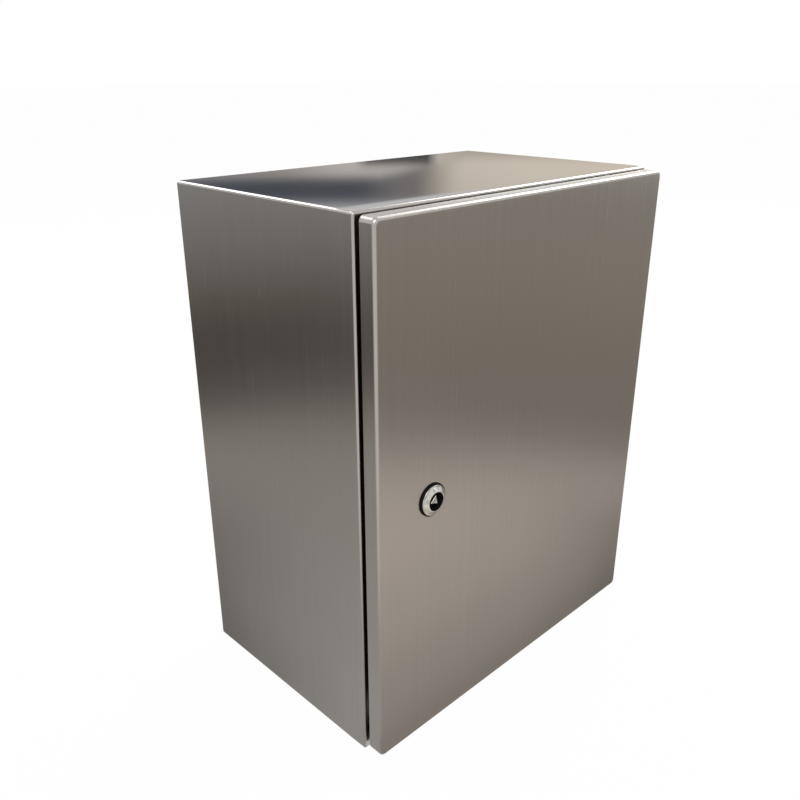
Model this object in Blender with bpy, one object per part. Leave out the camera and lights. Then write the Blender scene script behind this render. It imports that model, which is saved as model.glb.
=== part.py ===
"""Wall-mounted stainless steel switchboard cabinet, single door hinged on the right.

Metres, +Z up, +X to the right and -Y to the front. The origin is on the floor plane, under the
middle of the whole object. Depths in front of the body's front plane are called "forward".
"""

from math import acos, cos, degrees, hypot, pi, radians, sin, sqrt

import bmesh
import bpy
from mathutils import Matrix, Vector

# ---- driving dimensions -------------------------------------------------------------------------
CABINET_WIDTH = 0.400
CABINET_HEIGHT = 0.500
BODY_DEPTH = 0.240  # rear face to the plane of the front flange
SHEET = 0.0015  # stainless sheet of body, rear panel and door
SEAT_GAP = 0.0003  # left between two pieces that rest on each other

BODY_BEND = 0.0022  # outer bend radius of the front edge
BODY_CORNER = 0.0025  # outer radius of the four long edges
INNER_BEND = 0.0006

FLANGE_WIDTH = 0.0305  # front flange, outer face of the wall to outer face of the rim
RIM_HEIGHT = 0.0115  # sealing rim, forward of the flange
RIM_CORNER = 0.008

DOOR_GAP = 0.004  # shadow gap between the front flange and the door's rear edge
DOOR_DEPTH = 0.016
DOOR_INSET = 0.0025  # how far the door stays inside the body's outline
DOOR_BEND = 0.003
DOOR_CORNER = 0.005

GASKET_WIDTH = 0.010  # foam strip on the door, centred on the rim
GASKET_CROWN = 0.0015

REAR_HOLE_INSET = 0.025  # wall-fixing holes, from the outer edges
REAR_HOLE_RADIUS = 0.0045
PLUG_CLEARANCE = 0.0003
PLUG_CAP_RADIUS = 0.008
PLUG_CAP_HEIGHT = 0.0025

PLATE_MARGIN = 0.035  # mounting plate edge to the body's outer face
PLATE_SHEET = 0.002
PLATE_RETURN = 0.012  # folded long edges
PLATE_HOLE_INSET = 0.015
PLATE_STANDOFF = 0.018  # shoulder height of the welded studs

M8_RADIUS = 0.004
M6_RADIUS = 0.003
M4_RADIUS = 0.002
M8_ACROSS_FLATS = 0.013
M6_ACROSS_FLATS = 0.010
M4_ACROSS_FLATS = 0.007
NUT_FLANGE = 1.36  # flange width of a flange nut over its width across flats
HOLE_CLEARANCE = 0.0005  # radial, round any screw or stud
THREAD_CLEARANCE = 0.0002  # radial, between a nut's bore and its stud

GLAND_OPENING = (0.260, 0.100)
GLAND_CENTRE_FROM_REAR = 0.125
GLAND_BORDER = 0.016  # plate and gasket overlap round the opening
GLAND_CORNER = 0.006
GLAND_GASKET = 0.003
GLAND_SHEET = 0.002

HINGE_EDGE = 0.0075  # pin axis, from the door's outer side
HINGE_FORWARD = 0.0125  # pin axis, forward of the front flange
HINGE_END = 0.100  # hinge centre, from the top or bottom of the body
HINGE_SWING_CLEARANCE = 0.001
KNUCKLE_RADIUS = 0.0042
KNUCKLE_MIDDLE = 0.024
KNUCKLE_END = 0.012
KNUCKLE_SPACE = 0.0005
PIN_RADIUS = 0.0025
PIN_CLEARANCE = 0.0002
PIN_HEAD_RADIUS = 0.0038
PIN_HEAD_HEIGHT = 0.0015
HINGE_NECK = 0.0028  # thickness of the bent arm where it leaves its base
HINGE_ARM = 0.0036
HINGE_BASE_HEIGHT = 0.080
HINGE_BASE_SHEET = 0.0025
HINGE_SCREW_END = 0.008  # screw centre, from the end of the base
HINGE_PLATE_SHEET = 0.0022  # door leaf
HINGE_PLATE_REACH = 0.014  # door leaf, to the left of the pin axis

RAIL_WIDTH = 0.022  # perforated stiffening rails on the door
RAIL_DEPTH = 0.011
RAIL_SHEET = 0.0015
RAIL_LOCK_CLEARANCE = 0.010  # between the left rail and the corners of the lock nut
RAIL_END = 0.045  # rail end, from the body's top and bottom
RAIL_HOLE_RADIUS = 0.004
RAIL_PITCH = 0.025

LOCK_FROM_EDGE = 0.066  # lock axis, from the body's outer face
LOCK_GASKET_RADIUS = 0.0155
LOCK_GASKET_HEIGHT = 0.0012
BEZEL_RADIUS = 0.014
BEZEL_HEIGHT = 0.0036
BEZEL_EDGE_HEIGHT = 0.0009  # plain band round the outside of the bezel
BEZEL_FACE_RADIUS = 0.0095  # where the cone of the bezel meets its flat face
BARREL_RADIUS = 0.011
BARREL_FLATS = 0.020
RECESS_RADIUS = 0.0086
RECESS_DEPTH = 0.0095
ROTOR_CLEARANCE = 0.0003
ROTOR_DISC = 0.0016
ROTOR_SHAFT_RADIUS = 0.0055
TRIANGLE_CIRCLE = 0.0053  # circle through the drive's three corners
TRIANGLE_BELOW_FACE = 0.002
TRIANGLE_LEAN = 17.0  # degrees, the top corner leans to the right
CAM_SQUARE = 0.007
CAM_BEHIND_FLANGE = 0.001  # running clearance between cam and flange
CAM_SHEET = 0.003
CAM_WIDTH = 0.018
CAM_REACH = 0.045
LOCK_NUT_ACROSS = 0.027
LOCK_NUT_HEIGHT = 0.005
WASHER_SHEET = 0.0012
CAM_WASHER_RADIUS = 0.008

STUD_WELD_HEIGHT = 0.0008  # low base of a welded stud
EARTH_WELD_HEIGHT = 0.0015
EARTH_STUD_LENGTH = 0.022
BODY_EARTH_FROM_EDGE = 0.050  # in X from the right outer face
BODY_EARTH_FROM_FRONT = 0.045
DOOR_EARTH_FROM_EDGE = 0.060
DOOR_EARTH_FROM_BOTTOM = 0.062

# ---- places worked out from them ----------------------------------------------------------------
HALF_WIDTH = CABINET_WIDTH / 2
MID_HEIGHT = CABINET_HEIGHT / 2
BEZEL_BACK = DOOR_GAP + DOOR_DEPTH + LOCK_GASKET_HEIGHT + 2 * SEAT_GAP
BEZEL_FRONT = BEZEL_BACK + BEZEL_HEIGHT
REAR_Y = (BODY_DEPTH + BEZEL_FRONT) / 2
FRONT_Y = REAR_Y - BODY_DEPTH
RIM_INNER_INSET = FLANGE_WIDTH + SHEET
DOOR_FRONT = DOOR_GAP + DOOR_DEPTH
DOOR_INNER = DOOR_FRONT - SHEET
DOOR_HALF_WIDTH = HALF_WIDTH - DOOR_INSET
DOOR_HALF_HEIGHT = MID_HEIGHT - DOOR_INSET
REAR_INNER_Y = REAR_Y - SHEET
HINGE_X = DOOR_HALF_WIDTH - HINGE_EDGE
LOCK_X = -HALF_WIDTH + LOCK_FROM_EDGE
CAM_FRONT = -SHEET - CAM_BEHIND_FLANGE
RAIL_LEFT_X = LOCK_X + LOCK_NUT_ACROSS / sqrt(3) + RAIL_LOCK_CLEARANCE + RAIL_WIDTH / 2

CORNER_STEPS = 5
BEND_STEPS = 3


def forward(distance):
    """The Y of a point this far in front of the body's front plane."""
    return FRONT_Y - distance


# ---- materials ----------------------------------------------------------------------------------
def make_material(name, colour, metallic, roughness):
    material = bpy.data.materials.new(name)
    material.use_nodes = True
    shader = material.node_tree.nodes["Principled BSDF"]
    shader.inputs["Base Color"].default_value = (*colour, 1.0)
    shader.inputs["Metallic"].default_value = metallic
    shader.inputs["Roughness"].default_value = roughness
    material.diffuse_color = (*colour, 1.0)
    return material


def make_materials():
    return {
        "stainless": make_material("stainless", (0.40, 0.37, 0.34), 1.0, 0.30),
        "zinc_plate": make_material("zinc_plate", (0.52, 0.53, 0.54), 1.0, 0.42),
        "zinc_steel": make_material("zinc_steel", (0.48, 0.48, 0.47), 1.0, 0.35),
        "chrome": make_material("chrome", (0.72, 0.70, 0.66), 1.0, 0.14),
        "foam": make_material("foam", (0.035, 0.035, 0.036), 0.0, 0.90),
        "rubber": make_material("rubber", (0.015, 0.015, 0.016), 0.0, 0.60),
        "plastic": make_material("plastic", (0.030, 0.030, 0.032), 0.0, 0.45),
    }


# ---- outlines -----------------------------------------------------------------------------------
def arc(centre, radius, start, end, steps):
    """Points on an arc, angles in degrees, both ends included."""
    angles = [radians(start + (end - start) * i / steps) for i in range(steps + 1)]
    return [(centre[0] + radius * cos(a), centre[1] + radius * sin(a)) for a in angles]


def circle(radius, steps, centre=(0.0, 0.0)):
    return arc(centre, radius, 0, 360, steps)[:-1]


def rounded_rectangle(half_width, half_height, radius, steps=CORNER_STEPS):
    """Counter-clockwise outline that always has the same number of points for the same steps."""
    points = []
    for quarter, (sx, sy) in enumerate([(1, 1), (-1, 1), (-1, -1), (1, -1)]):
        centre = (sx * (half_width - radius), sy * (half_height - radius))
        points += arc(centre, radius, 90 * quarter, 90 * quarter + 90, steps)
    return points


def hexagon(across_flats, steps_per_side, turn=0.0):
    """Hexagon outline with each side divided, so that it can be bridged to a circle."""
    count = 6 * steps_per_side
    points = []
    for i in range(count):
        angle = 2 * pi * i / count
        from_corner = (angle % (pi / 3)) - pi / 6
        radius = across_flats / 2 / cos(from_corner)
        points.append((radius * cos(angle + turn), radius * sin(angle + turn)))
    return points


# ---- solids -------------------------------------------------------------------------------------
def finish_object(name, mesh_builder, material):
    bmesh.ops.recalc_face_normals(mesh_builder, faces=mesh_builder.faces)
    mesh = bpy.data.meshes.new(name)
    mesh_builder.to_mesh(mesh)
    mesh_builder.free()
    made = bpy.data.objects.new(name, mesh)
    bpy.context.scene.collection.objects.link(made)
    if material is not None:
        mesh.materials.append(material)
    mesh.shade_smooth()
    mesh.set_sharp_from_angle(angle=radians(32))
    return made


def bridged_rings(rings, closed):
    """Skin through rings of equal length. An open skin gets a flat cap at each end."""
    builder = bmesh.new()
    loops = [[builder.verts.new(point) for point in ring] for ring in rings]
    count = len(loops[0])
    pairs = list(zip(loops, loops[1:]))
    if closed:
        pairs.append((loops[-1], loops[0]))
    for first, second in pairs:
        for i in range(count):
            j = (i + 1) % count
            builder.faces.new((first[i], first[j], second[j], second[i]))
    if not closed:
        builder.faces.new(loops[0])
        builder.faces.new(loops[-1][::-1])
    return builder


def frame_rings(profile, half_width, half_height):
    """Rounded rectangles facing front, one for each (inset, y, corner radius) of the profile."""
    rings = []
    for inset, y, radius in profile:
        outline = rounded_rectangle(half_width - inset, half_height - inset, radius)
        rings.append([(x, y, z) for x, z in outline])
    return rings


def prism(name, outline, low, high, material, axis="Z"):
    """Outline extruded from low to high along an axis. Along Y the outline's plane is (x, z)."""

    def point(pair, height):
        return (pair[0], height, pair[1]) if axis == "Y" else (pair[0], pair[1], height)

    rings = [[point(pair, height) for pair in outline] for height in (low, high)]
    return finish_object(name, bridged_rings(rings, closed=False), material)


def block(name, low, high, material=None):
    outline = [(low[0], low[1]), (high[0], low[1]), (high[0], high[1]), (low[0], high[1])]
    return prism(name, outline, low[2], high[2], material)


def turned(name, profile, steps, material, closed=False):
    """(radius, height) profile turned about Z. A closed profile leaves a bore through the piece."""
    rings = [[(x, y, height) for x, y in circle(radius, steps)] for radius, height in profile]
    return finish_object(name, bridged_rings(rings, closed), material)


def pierced(name, outer, bore_radius, low, high, material):
    """Outline with a round bore, extruded along Z. The outline sets the number of bore points."""
    bore = circle(bore_radius, len(outer))
    rings = [
        [(x, y, low) for x, y in outer],
        [(x, y, high) for x, y in outer],
        [(x, y, high) for x, y in bore],
        [(x, y, low) for x, y in bore],
    ]
    return finish_object(name, bridged_rings(rings, closed=True), material)


def shape_with(target, tool, operation):
    """Adds or removes a helper solid. The helper stays in the file as a hidden wire shape."""
    modifier = target.modifiers.new(tool.name, "BOOLEAN")
    modifier.operation = operation
    modifier.solver = "EXACT"
    modifier.object = tool
    tool.hide_render = True
    tool.display_type = "WIRE"
    tool.parent = target
    tool.matrix_parent_inverse = target.matrix_basis.inverted()


def cut(target, *tools):
    for tool in tools:
        shape_with(target, tool, "DIFFERENCE")


def fuse(target, *tools):
    for tool in tools:
        shape_with(target, tool, "UNION")


def drill(name, centre, radius, length, axis="Y", steps=16):
    """Cylinder that cuts a hole, centred on a point and running along an axis."""
    x, y, z = centre
    if axis == "Z":
        return prism(name, circle(radius, steps, (x, y)), z - length / 2, z + length / 2, None)
    outline = circle(radius, steps, (x, z))
    return prism(name, outline, y - length / 2, y + length / 2, None, axis="Y")


def drill_row(name, centres, radius, length, axis="Y", steps=16):
    """One cutter that holds a cylinder for each centre."""
    builder = bmesh.new()
    for centre in centres:
        single = drill(name, centre, radius, length, axis, steps)
        builder.from_mesh(single.data)
        bpy.data.objects.remove(single)
    return finish_object(name, builder, None)


def face_front(target, place):
    """Turns a piece made along +Z so that its +Z points to the front, at a place."""
    target.matrix_basis = Matrix.Translation(place) @ Matrix.Rotation(pi / 2, 4, "X")


def face_rear(target, place):
    """Turns a piece made along +Z so that its +Z points to the rear, at a place."""
    target.matrix_basis = Matrix.Translation(place) @ Matrix.Rotation(-pi / 2, 4, "X")


def pivot(name, place):
    made = bpy.data.objects.new(name, None)
    made.location = place
    bpy.context.scene.collection.objects.link(made)
    return made


def carry(empty, *pieces):
    """Parents pieces to a pivot on their joint's axis and leaves them where they are."""
    for piece in pieces:
        piece.parent = empty
        piece.matrix_parent_inverse = Matrix.Translation(-Vector(empty.location))


# ---- cabinet body -------------------------------------------------------------------------------
def body_profile():
    """Section through one wall, (inset, y, corner radius), from the rear edge round and back."""
    inner = SHEET
    inner_corner = max(BODY_CORNER - SHEET, INNER_BEND)
    rim_tip = forward(RIM_HEIGHT)
    points = [(0.0, REAR_Y, BODY_CORNER)]
    for inset, y in arc((BODY_BEND, FRONT_Y + BODY_BEND), BODY_BEND, 180, 270, BEND_STEPS):
        points.append((inset, y, max(BODY_CORNER - inset, INNER_BEND)))
    for inset, y in arc(
        (FLANGE_WIDTH - INNER_BEND, FRONT_Y - INNER_BEND), INNER_BEND, 90, 0, 1
    ):
        points.append((inset, y, RIM_CORNER))
    points.append((FLANGE_WIDTH, rim_tip, RIM_CORNER))
    points.append((RIM_INNER_INSET, rim_tip, RIM_CORNER - SHEET))
    outer_bend = SHEET + INNER_BEND
    for inset, y in arc(
        (RIM_INNER_INSET - outer_bend, FRONT_Y + SHEET - outer_bend), outer_bend, 0, 90, 2
    ):
        points.append((inset, y, RIM_CORNER - SHEET))
    for inset, y in arc(
        (inner + INNER_BEND, FRONT_Y + SHEET + INNER_BEND), INNER_BEND, 270, 180, 1
    ):
        points.append((inset, y, inner_corner))
    points.append((inner, REAR_Y, inner_corner))
    return points


def lift(target):
    """Pieces swept round the cabinet's middle are made about z = 0 and lifted to mid height."""
    target.location.z = MID_HEIGHT
    return target


def gland_centre_y():
    return REAR_Y - GLAND_CENTRE_FROM_REAR


def gland_outline(border):
    half_x = GLAND_OPENING[0] / 2 + border
    half_y = GLAND_OPENING[1] / 2 + border
    centre = gland_centre_y()
    outline = rounded_rectangle(half_x, half_y, GLAND_CORNER, 3)
    return [(x, y + centre) for x, y in outline]


def hinge_heights():
    return {"lower": HINGE_END, "upper": CABINET_HEIGHT - HINGE_END}


def hinge_screw_places():
    """(x, z) of the screws that hold the body leaves to the front flange."""
    reach = HINGE_BASE_HEIGHT / 2 - HINGE_SCREW_END
    x = sum(hinge_base_span()) / 2
    return {
        f"{name}_{end}": (x, height + side * reach)
        for name, height in hinge_heights().items()
        for end, side in (("bottom", -1), ("top", 1))
    }


def make_body_wrap(materials):
    rings = frame_rings(body_profile(), HALF_WIDTH, MID_HEIGHT)
    body = lift(finish_object("body_wrap", bridged_rings(rings, True), materials["stainless"]))
    opening = prism("gland_opening_cut", gland_outline(0.0), -SHEET, 2 * SHEET, None)
    holes = drill_row(
        "hinge_hole_cut",
        [(x, FRONT_Y + SHEET / 2, z) for x, z in hinge_screw_places().values()],
        M4_RADIUS + HOLE_CLEARANCE,
        4 * SHEET,
        steps=12,
    )
    cut(body, opening, holes)
    return body


def wall_hole_places():
    reach_x = HALF_WIDTH - REAR_HOLE_INSET
    reach_z = MID_HEIGHT - REAR_HOLE_INSET
    return {
        f"{row}_{side}": (sx * reach_x, MID_HEIGHT + sz * reach_z)
        for row, sz in (("bottom", -1), ("top", 1))
        for side, sx in (("left", -1), ("right", 1))
    }


def make_rear_panel(materials):
    inset = SHEET + SEAT_GAP
    corner = max(BODY_CORNER - inset, INNER_BEND)
    profile = [(inset, REAR_Y, corner), (inset, REAR_INNER_Y, corner)]
    rings = frame_rings(profile, HALF_WIDTH, MID_HEIGHT)
    panel = lift(finish_object("rear_panel", bridged_rings(rings, False), materials["stainless"]))
    centres = [(x, REAR_Y - SHEET / 2, z) for x, z in wall_hole_places().values()]
    cut(panel, drill_row("wall_hole_cut", centres, REAR_HOLE_RADIUS, 4 * SHEET))
    return panel


def make_wall_plugs(materials):
    """Caps pressed in from inside, flush with the rear face."""
    shank = REAR_HOLE_RADIUS - PLUG_CLEARANCE
    rim = PLUG_CAP_RADIUS - PLUG_CAP_HEIGHT / 2
    profile = [
        (shank, -SHEET),
        (shank, SEAT_GAP),
        (PLUG_CAP_RADIUS, SEAT_GAP),
        (PLUG_CAP_RADIUS, PLUG_CAP_HEIGHT / 2),
        (rim, PLUG_CAP_HEIGHT),
    ]
    for name, (x, z) in wall_hole_places().items():
        plug = turned(f"wall_hole_plug_{name}", profile, 16, materials["plastic"])
        face_front(plug, (x, REAR_INNER_Y, z))


# ---- gland plate --------------------------------------------------------------------------------
def gland_fixings():
    """(x, y) of the studs in the middle of the border at the four corners."""
    reach_x = GLAND_OPENING[0] / 2 + GLAND_BORDER / 2
    reach_y = GLAND_OPENING[1] / 2 + GLAND_BORDER / 2
    return {
        f"{row}_{side}": (sx * reach_x, gland_centre_y() + sy * reach_y)
        for row, sy in (("front", -1), ("rear", 1))
        for side, sx in (("left", -1), ("right", 1))
    }


def make_nut(name, thread_radius, across_flats, height, flange_radius, material):
    """Flange nut standing on z = 0, with its thread as a plain bore."""
    steps = 2
    bore = thread_radius + THREAD_CLEARANCE
    flange_height = height / 5
    count = 6 * steps
    hexagon_points = hexagon(across_flats, steps)
    small_hexagon = [(0.9 * x, 0.9 * y) for x, y in hexagon_points]
    rings = [
        [(x, y, 0.0) for x, y in circle(flange_radius, count)],
        [(x, y, flange_height / 2) for x, y in circle(flange_radius, count)],
        [(x, y, flange_height) for x, y in hexagon_points],
        [(x, y, height * 0.9) for x, y in hexagon_points],
        [(x, y, height) for x, y in small_hexagon],
        [(x, y, height) for x, y in circle(bore, count)],
        [(x, y, 0.0) for x, y in circle(bore, count)],
    ]
    return finish_object(name, bridged_rings(rings, closed=True), material)


def make_stud(name, radius, length, base_radius, base_height, material):
    """Weld stud standing on z = 0 on its own low base."""
    tip = radius * 0.8
    profile = [
        (base_radius, 0.0),
        (base_radius, base_height),
        (radius, base_height),
        (radius, length - radius / 4),
        (tip, length),
    ]
    return turned(name, profile, 12, material)


def make_gland_plate(materials):
    floor = SHEET + SEAT_GAP
    gasket_top = floor + GLAND_GASKET
    plate_low = gasket_top + SEAT_GAP
    plate_top = plate_low + GLAND_SHEET
    centres = list(gland_fixings().values())
    outer, inner = gland_outline(GLAND_BORDER), gland_outline(0.0)
    rings = [
        [(x, y, floor) for x, y in outer],
        [(x, y, gasket_top) for x, y in outer],
        [(x, y, gasket_top) for x, y in inner],
        [(x, y, floor) for x, y in inner],
    ]
    gasket = finish_object("gland_gasket", bridged_rings(rings, True), materials["foam"])
    base_radius = M6_RADIUS * 1.5
    gasket_holes = [(x, y, floor) for x, y in centres]
    cut(
        gasket,
        drill_row("gland_gasket_cut", gasket_holes, base_radius + HOLE_CLEARANCE,
                  4 * GLAND_GASKET, "Z", 12),
    )
    plate = prism("gland_plate", outer, plate_low, plate_top, materials["stainless"])
    plate_holes = [(x, y, plate_low) for x, y in centres]
    cut(
        plate,
        drill_row("gland_plate_cut", plate_holes, M6_RADIUS + HOLE_CLEARANCE,
                  4 * GLAND_SHEET, "Z", 12),
    )
    nut_height = 2 * M6_RADIUS
    stud_length = plate_top + SEAT_GAP + nut_height + M6_RADIUS - floor
    for name, (x, y) in gland_fixings().items():
        stud = make_stud(f"gland_stud_{name}", M6_RADIUS, stud_length, base_radius,
                         STUD_WELD_HEIGHT, materials["zinc_steel"])
        stud.location = (x, y, floor)
        nut = make_nut(f"gland_nut_{name}", M6_RADIUS, M6_ACROSS_FLATS, nut_height,
                       NUT_FLANGE * M6_ACROSS_FLATS / 2, materials["zinc_steel"])
        nut.location = (x, y, plate_top + SEAT_GAP)


# ---- mounting plate -----------------------------------------------------------------------------
def plate_half_sizes():
    return HALF_WIDTH - PLATE_MARGIN, MID_HEIGHT - PLATE_MARGIN


def plate_fixings():
    half_x, half_z = plate_half_sizes()
    reach_x, reach_z = half_x - PLATE_HOLE_INSET, half_z - PLATE_HOLE_INSET
    return {
        f"{row}_{side}": (sx * reach_x, MID_HEIGHT + sz * reach_z)
        for row, sz in (("bottom", -1), ("top", 1))
        for side, sx in (("left", -1), ("right", 1))
    }


def plate_rear_y():
    return REAR_INNER_Y - PLATE_STANDOFF - 2 * SEAT_GAP


def make_mounting_plate(materials):
    """Flat plate with its long edges folded to the rear, on four welded shoulder studs."""
    half_x, half_z = plate_half_sizes()
    rear = plate_rear_y()
    front = rear - PLATE_SHEET
    fold_end = front + PLATE_RETURN
    bend = PLATE_SHEET * 1.5
    left_bend = arc((-half_x + bend, front + bend), bend, 180, 270, BEND_STEPS)
    right_bend = arc((half_x - bend, front + bend), bend, 270, 360, BEND_STEPS)
    inner_x = half_x - PLATE_SHEET
    outline = [(-half_x, fold_end), *left_bend, *right_bend, (half_x, fold_end)]
    outline += [(inner_x, fold_end), (inner_x, rear), (-inner_x, rear), (-inner_x, fold_end)]
    low, high = MID_HEIGHT - half_z, MID_HEIGHT + half_z
    plate = prism("mounting_plate", outline, low, high, materials["zinc_plate"])
    centres = [(x, front + PLATE_SHEET / 2, z) for x, z in plate_fixings().values()]
    holes = drill_row("plate_hole_cut", centres, M8_RADIUS + HOLE_CLEARANCE, 3 * PLATE_SHEET)
    cut(plate, holes)
    nut_height = 2 * M8_RADIUS
    thread_end = PLATE_STANDOFF + 2 * SEAT_GAP + PLATE_SHEET + nut_height + M8_RADIUS
    profile = [
        (2 * M8_RADIUS, 0.0),
        (2 * M8_RADIUS, M8_RADIUS / 2),
        (1.5 * M8_RADIUS, M8_RADIUS / 2),
        (1.5 * M8_RADIUS, PLATE_STANDOFF),
        (M8_RADIUS, PLATE_STANDOFF),
        (M8_RADIUS, thread_end - M8_RADIUS / 4),
        (M8_RADIUS * 0.8, thread_end),
    ]
    for name, (x, z) in plate_fixings().items():
        stud = turned(f"plate_stud_{name}", profile, 12, materials["zinc_steel"])
        face_front(stud, (x, REAR_INNER_Y - SEAT_GAP, z))
        nut = make_nut(f"plate_nut_{name}", M8_RADIUS, M8_ACROSS_FLATS, nut_height,
                       NUT_FLANGE * M8_ACROSS_FLATS / 2, materials["zinc_steel"])
        face_front(nut, (x, front - SEAT_GAP, z))


# ---- earthing studs -----------------------------------------------------------------------------
def make_earth_set(name, materials):
    """M6 weld stud with a washer and a nut, standing on z = 0. Returns the three pieces."""
    washer_low = EARTH_WELD_HEIGHT + SEAT_GAP
    nut_low = washer_low + WASHER_SHEET + SEAT_GAP
    stud = make_stud(f"{name}_earth_stud", M6_RADIUS, EARTH_STUD_LENGTH, 2 * M6_RADIUS,
                     EARTH_WELD_HEIGHT, materials["zinc_steel"])
    washer = pierced(f"{name}_earth_washer", circle(2 * M6_RADIUS, 18),
                     M6_RADIUS + THREAD_CLEARANCE, washer_low, washer_low + WASHER_SHEET,
                     materials["zinc_steel"])
    nut = make_nut(f"{name}_earth_nut", M6_RADIUS, M6_ACROSS_FLATS, 2 * M6_RADIUS,
                   NUT_FLANGE * M6_ACROSS_FLATS / 2, materials["zinc_steel"])
    return stud, washer, nut, nut_low


def make_body_earth(materials):
    stud, washer, nut, nut_low = make_earth_set("body", materials)
    x = HALF_WIDTH - BODY_EARTH_FROM_EDGE
    y = FRONT_Y + BODY_EARTH_FROM_FRONT
    floor = SHEET + SEAT_GAP
    stud.location = washer.location = (x, y, floor)
    nut.location = (x, y, floor + nut_low)


def make_door_earth(materials):
    stud, washer, nut, nut_low = make_earth_set("door", materials)
    x = HALF_WIDTH - DOOR_EARTH_FROM_EDGE
    inner = forward(DOOR_INNER - SEAT_GAP)
    face_rear(stud, (x, inner, DOOR_EARTH_FROM_BOTTOM))
    face_rear(washer, (x, inner, DOOR_EARTH_FROM_BOTTOM))
    face_rear(nut, (x, inner + nut_low, DOOR_EARTH_FROM_BOTTOM))
    return [stud, washer, nut]


# ---- hinges -------------------------------------------------------------------------------------
def door_swing_radius():
    """Radius that the rear edge of the door's hinge side sweeps about the pin."""
    return hypot(HINGE_EDGE, HINGE_FORWARD - DOOR_GAP)


def neck_right_x():
    return HINGE_X - door_swing_radius() - HINGE_SWING_CLEARANCE


def hinge_base_span():
    """X of the left and right edge of the base that lies on the front flange."""
    left = HALF_WIDTH - FLANGE_WIDTH + 2 * INNER_BEND
    swing = door_swing_radius() + HINGE_SWING_CLEARANCE
    height = HINGE_FORWARD - SEAT_GAP - HINGE_BASE_SHEET
    right = HINGE_X - sqrt(max(swing**2 - height**2, 0.0))
    return left, right


def arm_outline():
    """Plan of the bent arm that reaches round the door's edge, as (x, forward)."""
    arm_rear = HINGE_FORWARD
    arm_front = arm_rear + HINGE_ARM
    neck_right = neck_right_x()
    neck_left = neck_right - HINGE_NECK
    root = SEAT_GAP + HINGE_BASE_SHEET / 2
    meet = degrees(acos(min(HINGE_ARM / KNUCKLE_RADIUS, 1.0)))
    knuckle = arc((HINGE_X, HINGE_FORWARD), KNUCKLE_RADIUS, 180, 450 + meet, 16)
    outline = [(neck_left, root), (neck_right, root), (neck_right, arm_rear)]
    outline += [*knuckle, (neck_left, arm_front)]
    return outline


def plan(outline):
    """(x, forward) pairs as (x, y) pairs."""
    return [(x, forward(distance)) for x, distance in outline]


def knuckle_ends(height):
    """(low, high) of the two arms of a body leaf."""
    near = KNUCKLE_MIDDLE / 2 + KNUCKLE_SPACE
    far = near + KNUCKLE_END
    return [(height - far, height - near), (height + near, height + far)]


def make_body_leaf(name, height, materials):
    left, right = hinge_base_span()
    half = HINGE_BASE_HEIGHT / 2
    leaf = block(
        f"hinge_body_leaf_{name}",
        (left, forward(SEAT_GAP + HINGE_BASE_SHEET), height - half),
        (right, forward(SEAT_GAP), height + half),
        materials["zinc_steel"],
    )
    arms = [
        prism(f"hinge_arm_{name}_{i}", plan(arm_outline()), low, high, None)
        for i, (low, high) in enumerate(knuckle_ends(height))
    ]
    fuse(leaf, *arms)
    pin_centre = (HINGE_X, forward(HINGE_FORWARD), height)
    bore = drill(f"hinge_bore_{name}", pin_centre, PIN_RADIUS + PIN_CLEARANCE,
                 HINGE_BASE_HEIGHT, "Z")
    screws = [
        (x, forward(HINGE_BASE_SHEET / 2), z)
        for place, (x, z) in hinge_screw_places().items()
        if place.startswith(name)
    ]
    holes = drill_row(f"hinge_screw_cut_{name}", screws, M4_RADIUS + HOLE_CLEARANCE,
                      4 * HINGE_BASE_SHEET, steps=12)
    cut(leaf, bore, holes)
    return leaf


def make_door_leaf(name, height, materials):
    """Middle knuckle on a plate that is welded to the inside of the door."""
    plate_front = DOOR_INNER - SEAT_GAP
    plate_rear = plate_front - HINGE_PLATE_SHEET
    plate_left = HINGE_X - HINGE_PLATE_REACH
    knuckle = arc((HINGE_X, HINGE_FORWARD), KNUCKLE_RADIUS, 180, 360, 10)
    outline = [(plate_left, plate_front), (plate_left, plate_rear)]
    outline += [(HINGE_X - KNUCKLE_RADIUS, plate_rear), *knuckle]
    outline += [(HINGE_X + KNUCKLE_RADIUS, plate_front)]
    low, high = height - KNUCKLE_MIDDLE / 2, height + KNUCKLE_MIDDLE / 2
    leaf = prism(f"hinge_door_leaf_{name}", plan(outline), low, high, materials["zinc_steel"])
    pin_centre = (HINGE_X, forward(HINGE_FORWARD), height)
    cut(leaf, drill(f"door_leaf_bore_{name}", pin_centre, PIN_RADIUS + PIN_CLEARANCE,
                    2 * KNUCKLE_MIDDLE, "Z"))
    return leaf


def make_pin(name, height, materials):
    reach = KNUCKLE_MIDDLE / 2 + KNUCKLE_SPACE + KNUCKLE_END
    head_low = reach + SEAT_GAP
    profile = [
        (PIN_RADIUS * 0.8, -reach - PIN_RADIUS / 2),
        (PIN_RADIUS, -reach),
        (PIN_RADIUS, head_low),
        (PIN_HEAD_RADIUS, head_low),
        (PIN_HEAD_RADIUS, head_low + PIN_HEAD_HEIGHT),
    ]
    pin = turned(f"hinge_pin_{name}", profile, 16, materials["zinc_steel"])
    pin.location = (HINGE_X, forward(HINGE_FORWARD), height)
    return pin


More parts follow.
